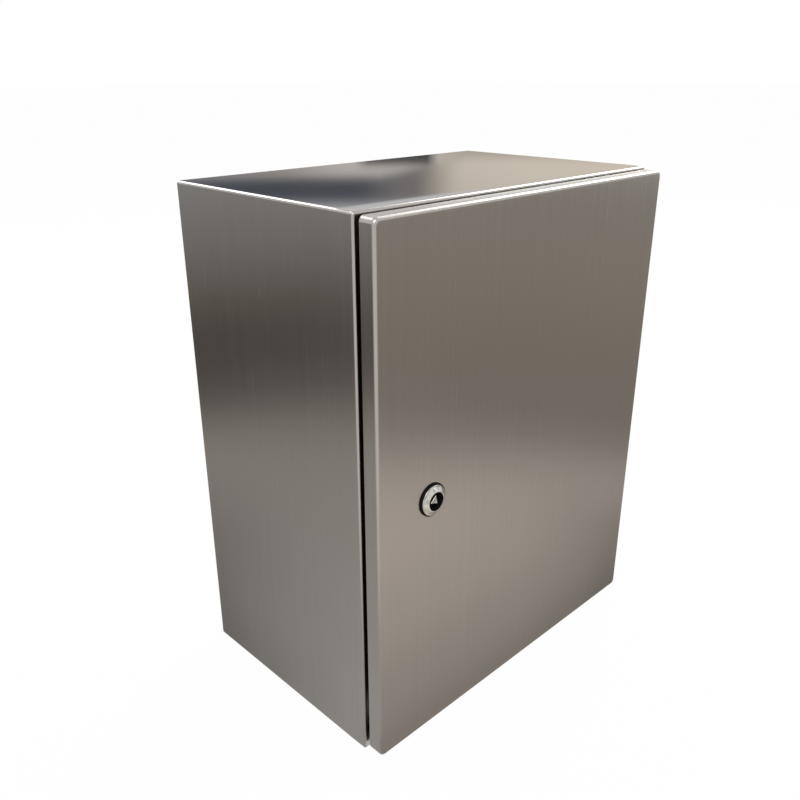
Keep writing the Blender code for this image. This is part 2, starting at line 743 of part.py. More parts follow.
def make_hinge_screws(materials):
    head_height = M4_RADIUS * 1.2
    head_radius = M4_RADIUS * 1.75
    under_head = SEAT_GAP
    tail = HINGE_BASE_SHEET + SEAT_GAP + SHEET + 2 * M4_RADIUS
    profile = [
        (M4_RADIUS * 0.8, -tail),
        (M4_RADIUS, -tail + M4_RADIUS / 3),
        (M4_RADIUS, under_head),
        (head_radius, under_head),
        (head_radius, under_head + head_height * 0.5),
        (head_radius * 0.7, under_head + head_height),
    ]
    for place, (x, z) in hinge_screw_places().items():
        screw = turned(f"hinge_screw_{place}", profile, 12, materials["zinc_steel"])
        face_front(screw, (x, forward(SEAT_GAP + HINGE_BASE_SHEET), z))


# ---- door ---------------------------------------------------------------------------------------
def lock_cut_outline(clearance):
    """Round outline with a flat on each side, as the lock's barrel and its hole have."""
    radius = BARREL_RADIUS + clearance
    flat = BARREL_FLATS / 2 + clearance
    start = degrees(acos(flat / radius))
    right = arc((0.0, 0.0), radius, start, 180 - start, 10)
    left = arc((0.0, 0.0), radius, 180 + start, 360 - start, 10)
    return right + left


def make_door_panel(materials):
    front = forward(DOOR_FRONT)
    inner = forward(DOOR_INNER)
    rear = forward(DOOR_GAP)
    bend = arc((DOOR_BEND, front + DOOR_BEND), DOOR_BEND, 270, 180, BEND_STEPS)
    inner_corner = max(DOOR_CORNER - SHEET, INNER_BEND)
    profile = [(inset, y, max(DOOR_CORNER - inset / 2, INNER_BEND)) for inset, y in bend]
    profile += [(0.0, rear, DOOR_CORNER), (SHEET, rear, inner_corner)]
    profile += [(SHEET, inner + INNER_BEND, inner_corner)]
    profile += [(SHEET + INNER_BEND, inner, inner_corner)]
    rings = frame_rings(profile, DOOR_HALF_WIDTH, DOOR_HALF_HEIGHT)
    door = lift(finish_object("door_panel", bridged_rings(rings, False), materials["stainless"]))
    outline = [(x + LOCK_X, z + MID_HEIGHT) for x, z in lock_cut_outline(SEAT_GAP)]
    hole = prism("lock_hole_cut", outline, front - SHEET, inner + SHEET, None, axis="Y")
    cut(door, hole)
    return door


def make_door_gasket(materials):
    """Foam strip between the door and the rim, with a crowned face towards the rim."""
    middle = FLANGE_WIDTH + SHEET / 2
    outer_inset = middle - GASKET_WIDTH / 2
    inner_inset = middle + GASKET_WIDTH / 2
    seat = forward(DOOR_INNER - SEAT_GAP)
    crown = forward(RIM_HEIGHT + SEAT_GAP)
    shoulder = crown - GASKET_CROWN
    outer_corner = RIM_CORNER + middle - outer_inset
    inner_corner = RIM_CORNER + middle - inner_inset
    shelf = GASKET_CROWN * 1.5
    profile = [
        (outer_inset, seat, outer_corner),
        (outer_inset, shoulder, outer_corner),
        (outer_inset + shelf, crown, outer_corner - shelf),
        (inner_inset - shelf, crown, inner_corner + shelf),
        (inner_inset, shoulder, inner_corner),
        (inner_inset, seat, inner_corner),
    ]
    rings = frame_rings(profile, HALF_WIDTH, MID_HEIGHT)
    return lift(finish_object("door_gasket", bridged_rings(rings, True), materials["foam"]))


def make_door_rail(name, x, materials):
    """Perforated channel whose legs stand on the inside of the door."""
    seat = forward(DOOR_INNER - SEAT_GAP)
    face = seat + RAIL_DEPTH
    half = RAIL_WIDTH / 2
    inner = half - RAIL_SHEET
    bend = 1.5 * RAIL_SHEET
    left_bend = arc((x - half + bend, face - bend), bend, 180, 90, 2)
    right_bend = arc((x + half - bend, face - bend), bend, 90, 0, 2)
    outline = [(x - half, seat), *left_bend, *right_bend, (x + half, seat), (x + inner, seat)]
    outline += [(x + inner, face - RAIL_SHEET), (x - inner, face - RAIL_SHEET), (x - inner, seat)]
    low, high = RAIL_END, CABINET_HEIGHT - RAIL_END
    rail = prism(f"door_rail_{name}", outline, low, high, materials["stainless"])
    count = int((high - low - RAIL_PITCH / 2) / RAIL_PITCH)
    first = MID_HEIGHT - (count - 1) * RAIL_PITCH / 2
    centres = [(x, face - RAIL_SHEET / 2, first + i * RAIL_PITCH) for i in range(count)]
    cut(rail, drill_row(f"rail_hole_cut_{name}", centres, RAIL_HOLE_RADIUS,
                        3 * RAIL_SHEET, steps=8))
    return rail


# ---- lock ---------------------------------------------------------------------------------------
def barrel_end():
    """Forward distance of the barrel's rear end, just in front of the cam."""
    return CAM_FRONT + SEAT_GAP


def make_lock_housing(materials):
    """Bezel and barrel in one turned piece, along +Z to the front, z = 0 on the front plane."""
    bore = ROTOR_SHAFT_RADIUS + ROTOR_CLEARANCE
    edge = BEZEL_BACK + BEZEL_EDGE_HEIGHT
    profile = [
        (BARREL_RADIUS, barrel_end()),
        (BARREL_RADIUS, BEZEL_BACK),
        (BEZEL_RADIUS, BEZEL_BACK),
        (BEZEL_RADIUS, edge),
        (BEZEL_FACE_RADIUS, BEZEL_FRONT),
        (RECESS_RADIUS, BEZEL_FRONT),
        (RECESS_RADIUS, BEZEL_FRONT - RECESS_DEPTH),
        (bore, BEZEL_FRONT - RECESS_DEPTH),
        (bore, barrel_end()),
    ]
    housing = turned("lock_housing", profile, 32, materials["chrome"], closed=True)
    over = 2 * BEZEL_RADIUS
    flat = BARREL_FLATS / 2
    flats = [
        block(f"lock_flat_{i}", low, high)
        for i, (low, high) in enumerate(
            [
                ((flat, -over, barrel_end() - over), (over, over, BEZEL_BACK)),
                ((-over, -over, barrel_end() - over), (-flat, over, BEZEL_BACK)),
            ]
        )
    ]
    cut(housing, *flats)
    face_front(housing, (LOCK_X, FRONT_Y, MID_HEIGHT))
    return housing


def make_lock_gasket(materials):
    low = DOOR_FRONT + SEAT_GAP
    ring = pierced("lock_gasket", circle(LOCK_GASKET_RADIUS, 32), BARREL_RADIUS + SEAT_GAP,
                   low, low + LOCK_GASKET_HEIGHT, materials["rubber"])
    face_front(ring, (LOCK_X, FRONT_Y, MID_HEIGHT))
    return ring


def make_lock_nut(materials):
    """Thin hexagon nut on the barrel, behind the door."""
    high = DOOR_INNER - SEAT_GAP
    nut = pierced("lock_nut", hexagon(LOCK_NUT_ACROSS, 4), BARREL_RADIUS + SEAT_GAP,
                  high - LOCK_NUT_HEIGHT, high, materials["zinc_steel"])
    face_front(nut, (LOCK_X, FRONT_Y, MID_HEIGHT))
    return nut


def screw_depth():
    """Length of the cam screw inside the insert."""
    return 4 * M4_RADIUS


def make_lock_insert(materials):
    """Turning insert: triangle drive in front, disc, shaft, and a square for the cam behind."""
    floor = BEZEL_FRONT - RECESS_DEPTH + ROTOR_CLEARANCE
    disc_top = floor + ROTOR_DISC
    disc_radius = RECESS_RADIUS - ROTOR_CLEARANCE
    shoulder = CAM_FRONT + SEAT_GAP
    profile = [
        (ROTOR_SHAFT_RADIUS, shoulder),
        (ROTOR_SHAFT_RADIUS, floor),
        (disc_radius, floor),
        (disc_radius, disc_top),
    ]
    insert = turned("lock_insert", profile, 24, materials["chrome"])
    top = 90 - TRIANGLE_LEAN
    corners = arc((0.0, 0.0), TRIANGLE_CIRCLE, top, top + 360, 3)[:-1]
    drive = prism("triangle_drive", corners, disc_top - ROTOR_DISC / 2,
                  BEZEL_FRONT - TRIANGLE_BELOW_FACE, None)
    half = CAM_SQUARE / 2
    cam_rear = CAM_FRONT - CAM_SHEET
    square = block("cam_square", (-half, -half, cam_rear), (half, half, shoulder + SHEET))
    fuse(insert, drive, square)
    depth = screw_depth()
    hole = prism("insert_thread", circle(M4_RADIUS + THREAD_CLEARANCE, 12),
                 cam_rear - SHEET, cam_rear + depth + SEAT_GAP, None)
    cut(insert, hole)
    face_front(insert, (LOCK_X, FRONT_Y, MID_HEIGHT))
    return insert


def make_lock_cam(materials):
    """Flat latch that hangs down when open and turns to the left behind the front flange."""
    half = CAM_WIDTH / 2
    tip = half * 0.6
    outline = arc((0.0, 0.0), half, 0, 180, 12)
    outline += arc((-half + tip, -CAM_REACH + tip), tip, 180, 270, 4)
    outline += arc((half - tip, -CAM_REACH + tip), tip, 270, 360, 4)
    low, high = CAM_FRONT - CAM_SHEET, CAM_FRONT
    cam = prism("lock_cam", outline, low, high, materials["zinc_steel"])
    side = CAM_SQUARE / 2 + SEAT_GAP
    hole = block("cam_hole_cut", (-side, -side, low - CAM_SHEET), (side, side, high + CAM_SHEET))
    cut(cam, hole)
    face_front(cam, (LOCK_X, FRONT_Y, MID_HEIGHT))
    return cam


def make_cam_fastening(materials):
    washer_high = CAM_FRONT - CAM_SHEET - SEAT_GAP
    washer_low = washer_high - WASHER_SHEET
    washer = pierced("cam_washer", circle(CAM_WASHER_RADIUS, 18), M4_RADIUS + HOLE_CLEARANCE,
                     washer_low, washer_high, materials["zinc_steel"])
    head_high = washer_low - SEAT_GAP
    head_height = 1.5 * M4_RADIUS
    tip = CAM_FRONT - CAM_SHEET + screw_depth()
    head = hexagon(M4_ACROSS_FLATS, 3)
    rings = [
        [(0.9 * x, 0.9 * y, head_high - head_height) for x, y in head],
        [(x, y, head_high - head_height * 0.85) for x, y in head],
        [(x, y, head_high) for x, y in head],
        [(x, y, head_high) for x, y in circle(M4_RADIUS, 18)],
        [(x, y, tip) for x, y in circle(M4_RADIUS, 18)],
    ]
    screw = finish_object("cam_screw", bridged_rings(rings, False), materials["zinc_steel"])
    for piece in (washer, screw):
        face_front(piece, (LOCK_X, FRONT_Y, MID_HEIGHT))
    return [washer, screw]


# ---- assembly -----------------------------------------------------------------------------------
def clear_scene():
    for old in list(bpy.data.objects):
        bpy.data.objects.remove(old)


def make_cabinet(materials):
    make_body_wrap(materials)
    make_rear_panel(materials)
    make_wall_plugs(materials)
    make_gland_plate(materials)
    make_mounting_plate(materials)
    make_body_earth(materials)
    make_hinge_screws(materials)
    for name, height in hinge_heights().items():
        make_body_leaf(name, height, materials)
        make_pin(name, height, materials)


def make_door(materials):
    pieces = [
        make_door_panel(materials),
        make_door_gasket(materials),
        make_door_rail("left", RAIL_LEFT_X, materials),
        make_door_rail("right", -RAIL_LEFT_X, materials),
        make_lock_housing(materials),
        make_lock_gasket(materials),
        make_lock_nut(materials),
        *make_door_earth(materials),
    ]
    for name, height in hinge_heights().items():
        pieces.append(make_door_leaf(name, height, materials))
    return pieces


def make_latch(materials):
    return [
        make_lock_insert(materials),
        make_lock_cam(materials),
        *make_cam_fastening(materials),
    ]


def main():
    clear_scene()
    materials = make_materials()
    make_cabinet(materials)
    hinge_axis = pivot("door_hinge_axis", (HINGE_X, forward(HINGE_FORWARD), MID_HEIGHT))
    lock_axis = pivot("lock_axis", (LOCK_X, FRONT_Y, MID_HEIGHT))
    carry(hinge_axis, *make_door(materials), lock_axis)
    carry(lock_axis, *make_latch(materials))


main()
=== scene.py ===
"""Looks of the wall-mounted stainless steel cabinet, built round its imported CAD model."""

from math import acos, atan2, cos, degrees, hypot, pi, radians, sin

import bmesh
import bpy
from mathutils import Matrix, Vector, noise


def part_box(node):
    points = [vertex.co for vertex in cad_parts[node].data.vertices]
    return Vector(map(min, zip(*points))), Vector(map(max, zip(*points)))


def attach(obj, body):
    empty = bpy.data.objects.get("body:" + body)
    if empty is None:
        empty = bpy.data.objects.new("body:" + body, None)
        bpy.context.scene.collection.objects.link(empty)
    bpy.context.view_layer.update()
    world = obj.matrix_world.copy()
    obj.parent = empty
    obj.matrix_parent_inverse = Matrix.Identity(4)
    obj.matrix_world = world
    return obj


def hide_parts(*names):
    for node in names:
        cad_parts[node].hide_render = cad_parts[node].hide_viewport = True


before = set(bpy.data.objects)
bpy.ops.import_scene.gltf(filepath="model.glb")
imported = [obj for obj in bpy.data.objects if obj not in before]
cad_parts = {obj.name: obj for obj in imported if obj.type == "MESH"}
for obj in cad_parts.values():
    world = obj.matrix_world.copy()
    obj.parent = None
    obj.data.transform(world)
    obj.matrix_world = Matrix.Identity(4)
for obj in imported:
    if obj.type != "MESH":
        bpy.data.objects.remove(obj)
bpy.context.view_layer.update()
NODES = sorted(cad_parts)


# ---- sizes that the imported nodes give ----
def centre_of(name):
    low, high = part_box(name)
    return (low + high) / 2


def size_of(name):
    low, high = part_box(name)
    return high - low


def named(start):
    return [name for name in NODES if name.startswith(start)]


BODY_LOW, BODY_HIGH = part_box("body_wrap")
DOOR_LOW, DOOR_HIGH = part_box("door_panel")
HALF_WIDTH = BODY_HIGH.x
MID_HEIGHT = BODY_HIGH.z / 2
SHEET = size_of("rear_panel").y
RIM_HEIGHT = 0.0115  # sealing rim, from the flange's front
RIM_TIP_Y = BODY_LOW.y
FRONT_Y = RIM_TIP_Y + RIM_HEIGHT
REAR_Y = BODY_HIGH.y
FLANGE_WIDTH = 0.0305
RIM_CORNER = 0.008
LOCK_X = centre_of("lock_housing").x
SEAT_GAP = 0.0003  # between two pieces that rest on each other


# ---- material nodes ----
def node(tree, kind, inputs=None, **settings):
    """Adds a shader node. An input is a number, a colour or another node's output socket."""
    made = tree.nodes.new("ShaderNode" + kind)
    for key, value in settings.items():
        setattr(made, key, value)
    for key, value in (inputs or {}).items():
        if isinstance(value, bpy.types.NodeSocket):
            tree.links.new(value, made.inputs[key])
        else:
            made.inputs[key].default_value = value
    return made


def new_material(name, metallic=0.0, anisotropy=0.0):
    """An empty procedural material: (material, its tree, its Principled shader)."""
    material = bpy.data.materials.new(name)
    material.use_nodes = True
    tree = material.node_tree
    shader = tree.nodes["Principled BSDF"]
    shader.inputs["Metallic"].default_value = metallic
    shader.inputs["Anisotropic"].default_value = anisotropy
    return material, tree, shader


def position_in(tree):
    return node(tree, "TexCoord").outputs["Object"]


def stretched_noise(tree, scale, detail=3.0, roughness=0.5):
    """Noise in metres with a scale for each axis, so that grain can run one way."""
    mapped = node(tree, "Mapping", {"Vector": position_in(tree), "Scale": scale})
    made = node(tree, "TexNoise", {"Vector": mapped.outputs["Vector"], "Scale": 1.0,
                                   "Detail": detail, "Roughness": roughness})
    return made.outputs["Fac"]


def ranged(tree, value, low, high, start=0.0, end=1.0):
    """Value remapped from start..end to low..high, clamped."""
    made = node(tree, "MapRange", {"Value": value, "From Min": start, "From Max": end,
                                   "To Min": low, "To Max": high})
    return made.outputs["Result"]


def math(tree, operation, first, second=0.0):
    made = node(tree, "Math", {0: first, 1: second}, operation=operation)
    return made.outputs["Value"]


def mixed(tree, factor, first, second):
    made = node(tree, "Mix", {"Factor": factor}, data_type="RGBA")
    for key, value in (("A", first), ("B", second)):
        socket = next(s for s in made.inputs if s.name == key and s.type == "RGBA")
        if isinstance(value, bpy.types.NodeSocket):
            tree.links.new(value, socket)
        else:
            socket.default_value = value
    return next(s for s in made.outputs if s.type == "RGBA")


def finished(material, tree, shader, colour, level, height, distance, strength):
    """Plugs in the colour, the roughness and a bump, and gives the material back."""
    bump = node(tree, "Bump", {"Height": height, "Distance": distance, "Strength": strength})
    for value, socket in ((colour, "Base Color"), (level, "Roughness"),
                          (bump.outputs["Normal"], "Normal")):
        tree.links.new(value, shader.inputs[socket])
    return material


def grey(value, warm=0.0):
    return (value * (1 + warm), value, value * (1 - warm), 1.0)


# ---- metals ----
GRAIN_UP = (0.02, 0.1, 1.0)  # nearly straight up, and never along a wall's normal
STEEL_DARK = (0.405, 0.381, 0.357, 1.0)
STEEL_LIGHT = (0.425, 0.400, 0.375, 1.0)
STEEL_WARM = (0.418, 0.388, 0.358, 1.0)


def brushed_steel(name, fine, streak, gloss=1.0, anisotropy=0.6, wrap_tangent=False):
    """Stainless sheet with a one-way grain, which runs where the noise is stretched. The
    tangent is one direction for the wrapped body, and follows each face elsewhere."""
    material, tree, shader = new_material(name, metallic=1.0, anisotropy=anisotropy)
    lines = stretched_noise(tree, fine, detail=4.0, roughness=0.65)
    streaks = stretched_noise(tree, streak, detail=3.0, roughness=0.55)
    clouds = stretched_noise(tree, (5.0, 5.0, 5.0), detail=4.0, roughness=0.6)
    pale = mixed(tree, ranged(tree, streaks, 0.0, 1.0, 0.3, 0.7), STEEL_DARK, STEEL_LIGHT)
    pale = mixed(tree, ranged(tree, lines, 0.0, 0.25, 0.3, 0.7), pale, STEEL_DARK)
    colour = mixed(tree, ranged(tree, clouds, 0.0, 0.5, 0.4, 0.7), pale, STEEL_WARM)
    level = math(tree, "ADD", ranged(tree, lines, -0.014, 0.014, 0.3, 0.7),
                 ranged(tree, streaks, -0.01, 0.01, 0.3, 0.7))
    level = math(tree, "ADD", level, ranged(tree, clouds, 0.24, 0.27, 0.35, 0.7))
    level = math(tree, "MULTIPLY", level, gloss)
    if wrap_tangent:
        across_grain = node(tree, "CombineXYZ", {"X": 0.02, "Y": 1.0, "Z": 0.03})
    else:
        surface = node(tree, "NewGeometry")
        across_grain = node(tree, "VectorMath", {0: surface.outputs["Normal"], 1: GRAIN_UP},
                            operation="CROSS_PRODUCT")
    tree.links.new(across_grain.outputs["Vector"], shader.inputs["Tangent"])
    return finished(material, tree, shader, colour, level, lines, 0.000006, 0.05)


def galvanised():
    """Hot-dip zinc: crystals of different shine with a cloudy film over them."""
    material, tree, shader = new_material("galvanised_sheet", metallic=1.0)
    place = position_in(tree)
    warp = node(tree, "TexNoise", {"Vector": place, "Scale": 45.0, "Detail": 3.0})
    bent = mixed(tree, 0.012, place, warp.outputs["Color"])
    crystals = node(tree, "TexVoronoi", {"Vector": bent, "Scale": 95.0, "Randomness": 1.0})
    shade = node(tree, "RGBToBW", {"Color": crystals.outputs["Color"]})
    film = stretched_noise(tree, (16.0, 16.0, 16.0), detail=5.0)
    colour = mixed(tree, shade.outputs["Val"], grey(0.40, -0.02), grey(0.56, -0.02))
    colour = mixed(tree, ranged(tree, film, 0.0, 0.4, 0.4, 0.7), colour, grey(0.50, 0.01))
    level = ranged(tree, shade.outputs["Val"], 0.34, 0.50)
    return finished(material, tree, shader, colour, level, crystals.outputs["Distance"],
                    0.0001, 0.15)


# ---- plated, soft and moulded materials ----
def mottled(name, metallic, patch, shades, gloss, fine, bump, specular=0.5, cells=None):
    """Finish in two shades that run into each other.

    patch: scale, detail and roughness of the noise between the shades, and its start and end
    gloss: surface roughness at the patches' low and high ends, and their start and end
    fine: scale and detail of a finer noise, and what it adds to the roughness, or None
    bump: distance and strength; it takes the cells, else the finer noise, else the patches
    """
    material, tree, shader = new_material(name, metallic)
    shader.inputs["Specular IOR Level"].default_value = specular
    scale, detail, rough, start, end = patch
    relief = patches = stretched_noise(tree, (scale, scale, scale), detail, rough)
    colour = mixed(tree, ranged(tree, patches, 0.0, 1.0, start, end), *shades)
    level = ranged(tree, patches, *gloss)
    if fine:
        fine_scale, fine_detail, least, most = fine
        relief = stretched_noise(tree, fine_scale, fine_detail)
        level = math(tree, "ADD", level, ranged(tree, relief, least, most, 0.3, 0.7))
    if cells:
        foamed = node(tree, "TexVoronoi", {"Vector": position_in(tree), "Scale": cells},
                      feature="SMOOTH_F1")
        relief = foamed.outputs["Distance"]
    return finished(material, tree, shader, colour, level, relief, *bump)


def foam(name, cells):
    """Black foamed sealant: open cells on a matte skin."""
    return mottled(name, 0.0, (90.0, 4.0, 0.5, 0.35, 0.65), (grey(0.022), grey(0.046)),
                   (0.78, 0.95, 0.3, 0.7), None, (0.0004, 0.5), 0.3, cells)


def moulded(name, dark, pale, grain, rough, specular=0.5):
    """Rubber or plastic with the fine texture of its mould, under a little dust."""
    return mottled(name, 0.0, (70.0, 4.0, 0.5, 0.4, 0.72), (grey(dark), grey(pale)),
                   (0.0, 0.08, 0.4, 0.7), ((grain,) * 3, 3.0, rough - 0.05, rough + 0.05),
                   (0.00005, 0.4), specular)


M = {
    "body": brushed_steel("steel_wrap", (10, 3200, 10), (2.5, 300, 2.5), wrap_tangent=True),
    "polished": brushed_steel("steel_polished", (10, 3200, 10), (2.5, 300, 2.5), gloss=0.24,
                              anisotropy=0.35, wrap_tangent=True),
    "door": brushed_steel("steel_door", (3200, 3200, 10), (300, 300, 2.5)),
    "galvanised": galvanised(),
    "zinc": mottled("zinc_plating", 1.0, (260.0, 5.0, 0.6, 0.35, 0.68),
                    (grey(0.47, -0.015), grey(0.60, 0.02)), (0.26, 0.38, 0.3, 0.7),
                    ((1500.0, 1500.0, 300.0), 3.0, -0.04, 0.05), (0.00003, 0.4)),
    "chrome": mottled("chrome_plating", 1.0, (130.0, 4.0, 0.5, 0.35, 0.65),
                      ((0.36, 0.345, 0.315, 1.0), (0.74, 0.72, 0.68, 1.0)),
                      (0.14, 0.22, 0.35, 0.65), ((2600.0, 2600.0, 500.0), 2.0, -0.02, 0.03),
                      (0.000015, 0.3)),
    # black for the bezel's marks, and painted shade for the lock's recess and the disc in it
    "black": mottled("black_marks_and_painted_shade", 0.6, (900.0, 4.0, 0.5, 0.35, 0.65),
                     (grey(0.006), grey(0.018)), (0.38, 0.58, 0.3, 0.7), None,
                     (0.00004, 0.4)),
    "foam": foam("foam_strip", 1500.0),
    "gland_foam": foam("foam_pad", 1100.0),
    "rubber": moulded("rubber_ring", 0.003, 0.006, 1200.0, 0.70, 0.12),
    "plastic": moulded("plastic_plug", 0.022, 0.040, 2000.0, 0.45),
}


# ---- outlines ----
def arc(centre, radius, start, end, steps):
    angles = [radians(start + (end - start) * i / steps) for i in range(steps + 1)]
    return [(centre[0] + radius * cos(a), centre[1] + radius * sin(a)) for a in angles]


def circle(radius, steps, centre=(0.0, 0.0)):
    return arc(centre, radius, 0, 360, steps)[:-1]


def rounded_rectangle(half_width, half_height, radius, steps=8, runs=1):
    """Counter-clockwise outline. runs splits each straight side."""
    corners = [
        arc((sx * (half_width - radius), sy * (half_height - radius)), radius,
            90 * quarter, 90 * quarter + 90, steps)
        for quarter, (sx, sy) in enumerate(((1, 1), (-1, 1), (-1, -1), (1, -1)))
    ]
    points = []
    for corner, following in zip(corners, corners[1:] + corners[:1]):
        (x, y), (end_x, end_y) = corner[-1], following[0]
        points += corner
        points += [(x + (end_x - x) * i / runs, y + (end_y - y) * i / runs)
                   for i in range(1, runs)]
    return points


def channel(x, half, base, edge, sheet, bend, steps):
    """Section of a folded sheet about x: its web lies at y = base, its legs end at y = edge."""
    centre, depth = (bend - half, bend), abs(edge - base)
    outer = [(-half, depth), *arc(centre, bend, 180, 270, steps)]
    inner = [(sheet - half, depth), *arc(centre, bend - sheet, 180, 270, 4)]
    points = outer + [(-u, v) for u, v in outer[::-1] + inner] + inner[::-1]
    way = 1 if edge > base else -1
    return [(x + u, base + way * v) for u, v in points]


def hexagon(across_flats, steps_per_side, rounding=0.0):
    """Hexagon whose corners may be turned down to a radius."""
    count = 6 * steps_per_side
    most = across_flats / 3**0.5 - rounding
    points = []
    for i in range(count):
        angle = 2 * pi * i / count
        from_corner = (angle % (pi / 3)) - pi / 6
        radius = min(across_flats / 2 / cos(from_corner), most)
        points.append((radius * cos(angle), radius * sin(angle)))
    return points


# ---- mesh building ----
def skin(rings, closed):
    """Faces through rings of equal length, capped at both ends unless closed."""
    builder = bmesh.new()
    loops = [[builder.verts.new(point) for point in ring] for ring in rings]
    pairs = list(zip(loops, loops[1:]))
    if closed:
        pairs.append((loops[-1], loops[0]))
    for first, second in pairs:
        for i in range(len(first)):
            j = (i + 1) % len(first)
            builder.faces.new((first[i], first[j], second[j], second[i]))
    if not closed:
        builder.faces.new(loops[0])
        builder.faces.new(loops[-1][::-1])
    return builder


def add_object(name, data):
    made = bpy.data.objects.new(name, data)
    bpy.context.scene.collection.objects.link(made)
    return made


def to_object(name, builder, materials):
    bmesh.ops.recalc_face_normals(builder, faces=builder.faces)
    mesh = bpy.data.meshes.new(name)
    builder.to_mesh(mesh)
    builder.free()
    for material in materials:
        mesh.materials.append(material)
    return add_object(name, mesh)


def apply_modifiers(piece):
    """Bakes the piece's modifiers into its mesh, so that later steps see the real shape."""
    graph = bpy.context.evaluated_depsgraph_get()
    mesh = bpy.data.meshes.new_from_object(piece.evaluated_get(graph))
    piece.modifiers.clear()
    old = piece.data
    piece.data = mesh
    bpy.data.meshes.remove(old)


def combined(piece, operation, tools):
    """Applies the tools to the piece and removes them."""
    for tool in tools:
        modifier = piece.modifiers.new(tool.name, "BOOLEAN")
        modifier.operation = operation
        modifier.solver = "EXACT"
        modifier.object = tool
    apply_modifiers(piece)
    for tool in tools:
        bpy.data.objects.remove(tool)


def cut(piece, *tools):
    combined(piece, "DIFFERENCE", tools)


def fuse(piece, *tools):
    combined(piece, "UNION", tools)


def eased(piece, width, segments=2, angle=35):
    """Small rounded edges."""
    modifier = piece.modifiers.new("edges", "BEVEL")
    modifier.width = width
    modifier.segments = segments
    modifier.limit_method = "ANGLE"
    modifier.angle_limit = radians(angle)
    modifier.miter_outer = "MITER_ARC"
    apply_modifiers(piece)


def placed(piece, body, replaced, sharp=34):
    """Smooth shading, body and the CAD node that the piece stands for."""
    piece.data.shade_smooth()
    piece.data.set_sharp_from_angle(angle=radians(sharp))
    modifier = piece.modifiers.new("normals", "WEIGHTED_NORMAL")
    modifier.keep_sharp = True
    modifier.weight = 60
    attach(piece, body)
    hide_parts(replaced)


def prism(name, outline, low, high, material, axis="Z"):
    def point(pair, height):
        return (pair[0], height, pair[1]) if axis == "Y" else (pair[0], pair[1], height)

    rings = [[point(pair, height) for pair in outline] for height in (low, high)]
    return to_object(name, skin(rings, False), [material] if material else [])


def block(name, low, high, material=None):
    outline = [(low[0], low[1]), (high[0], low[1]), (high[0], high[1]), (low[0], high[1])]
    return prism(name, outline, low[2], high[2], material)


def raised(outline, height, scale=1.0):
    return [(x * scale, y * scale, height) for x, y in outline]


def ring_of(radius, height, steps=28):
    return raised(circle(radius, steps), height)


def turned(name, profile, steps, material, closed=False):
    """Solid of revolution about Z, from (radius, height) points."""
    rings = [ring_of(radius, height, steps) for radius, height in profile]
    return to_object(name, skin(rings, closed), [material])


def holes(name, centres, radius, length, axis="Y", steps=32):
    """One cutter with a cylinder for each centre."""
    builder = bmesh.new()
    for x, y, z in centres:
        flat = (x, z) if axis == "Y" else (x, y)
        middle = y if axis == "Y" else z
        one = prism(name, circle(radius, steps, flat), middle - length / 2, middle + length / 2,
                    None, axis)
        builder.from_mesh(one.data)
        bpy.data.objects.remove(one)
    return to_object(name, builder, [])


def frame_rings(profile, half_width, half_height, steps=8, runs=1):
    """Rounded rectangles facing front, one for each (inset, y, corner radius)."""
    rings = []
    for inset, y, radius in profile:
        outline = rounded_rectangle(half_width - inset, half_height - inset, radius, steps, runs)
        rings.append([(x, y, z + MID_HEIGHT) for x, z in outline])
    return rings


def facing(piece, place, front=True):
    """Turns a piece made along +Z to the front or the rear, at a place."""
    turn = Matrix.Rotation(pi / 2 if front else -pi / 2, 4, "X")
    piece.data.transform(Matrix.Translation(place) @ turn)


def length_of(name, way):
    """A node's size along the way that its piece points."""
    return size_of(name).z if way == "up" else size_of(name).y


def set_on(piece, name, way, centre, body="cabinet"):
    """Puts a zinc-plated piece made along +Z on its node's seat, to point up, front or rear."""
    low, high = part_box(name)
    if way == "up":
        piece.data.transform(Matrix.Translation((centre.x, centre.y, low.z)))
    else:
        seat = high.y if way == "front" else low.y
        facing(piece, (centre.x, seat, centre.z), way == "front")
    placed(piece, body, name)


# ---- small hardware ----
M8, M6, M4 = 0.004, 0.003, 0.002  # thread radii
PITCH = {M8: 0.00125, M6: 0.001, M4: 0.0007}
ACROSS = {M8: 0.013, M6: 0.010}  # of the flange nuts
CORE = 0.75  # thread's end, as a part of its radius


def thread_rings(radius, low, high, steps=28, rows=8):
    """Rings of a helical thread that stays inside its radius."""
    pitch = PITCH[radius]
    depth = 0.54 * pitch
    count = int((high - low) / pitch * rows)
    rings = []
    for i in range(count + 1):
        height = low + (high - low) * i / count
        fade = min(1.0, i / rows, (count - i) / rows)
        ring = []
        for k in range(steps):
            turn = (height / pitch - k / steps) % 1.0
            here = radius - depth * fade * (1 - abs(2 * turn - 1))
            angle = 2 * pi * k / steps
            ring.append((here * cos(angle), here * sin(angle), height))
        rings.append(ring)
    return rings


def stud(name, radius, base, thread_low, length):
    """Weld stud on z = 0. base is its (radius, height) profile below the thread."""
    rings = [ring_of(r, z) for r, z in base]
    rings += thread_rings(radius, thread_low, length - radius / 5)
    rings += [ring_of(radius * 0.78, length)]
    return to_object(name, skin(rings, False), [M["zinc"]])


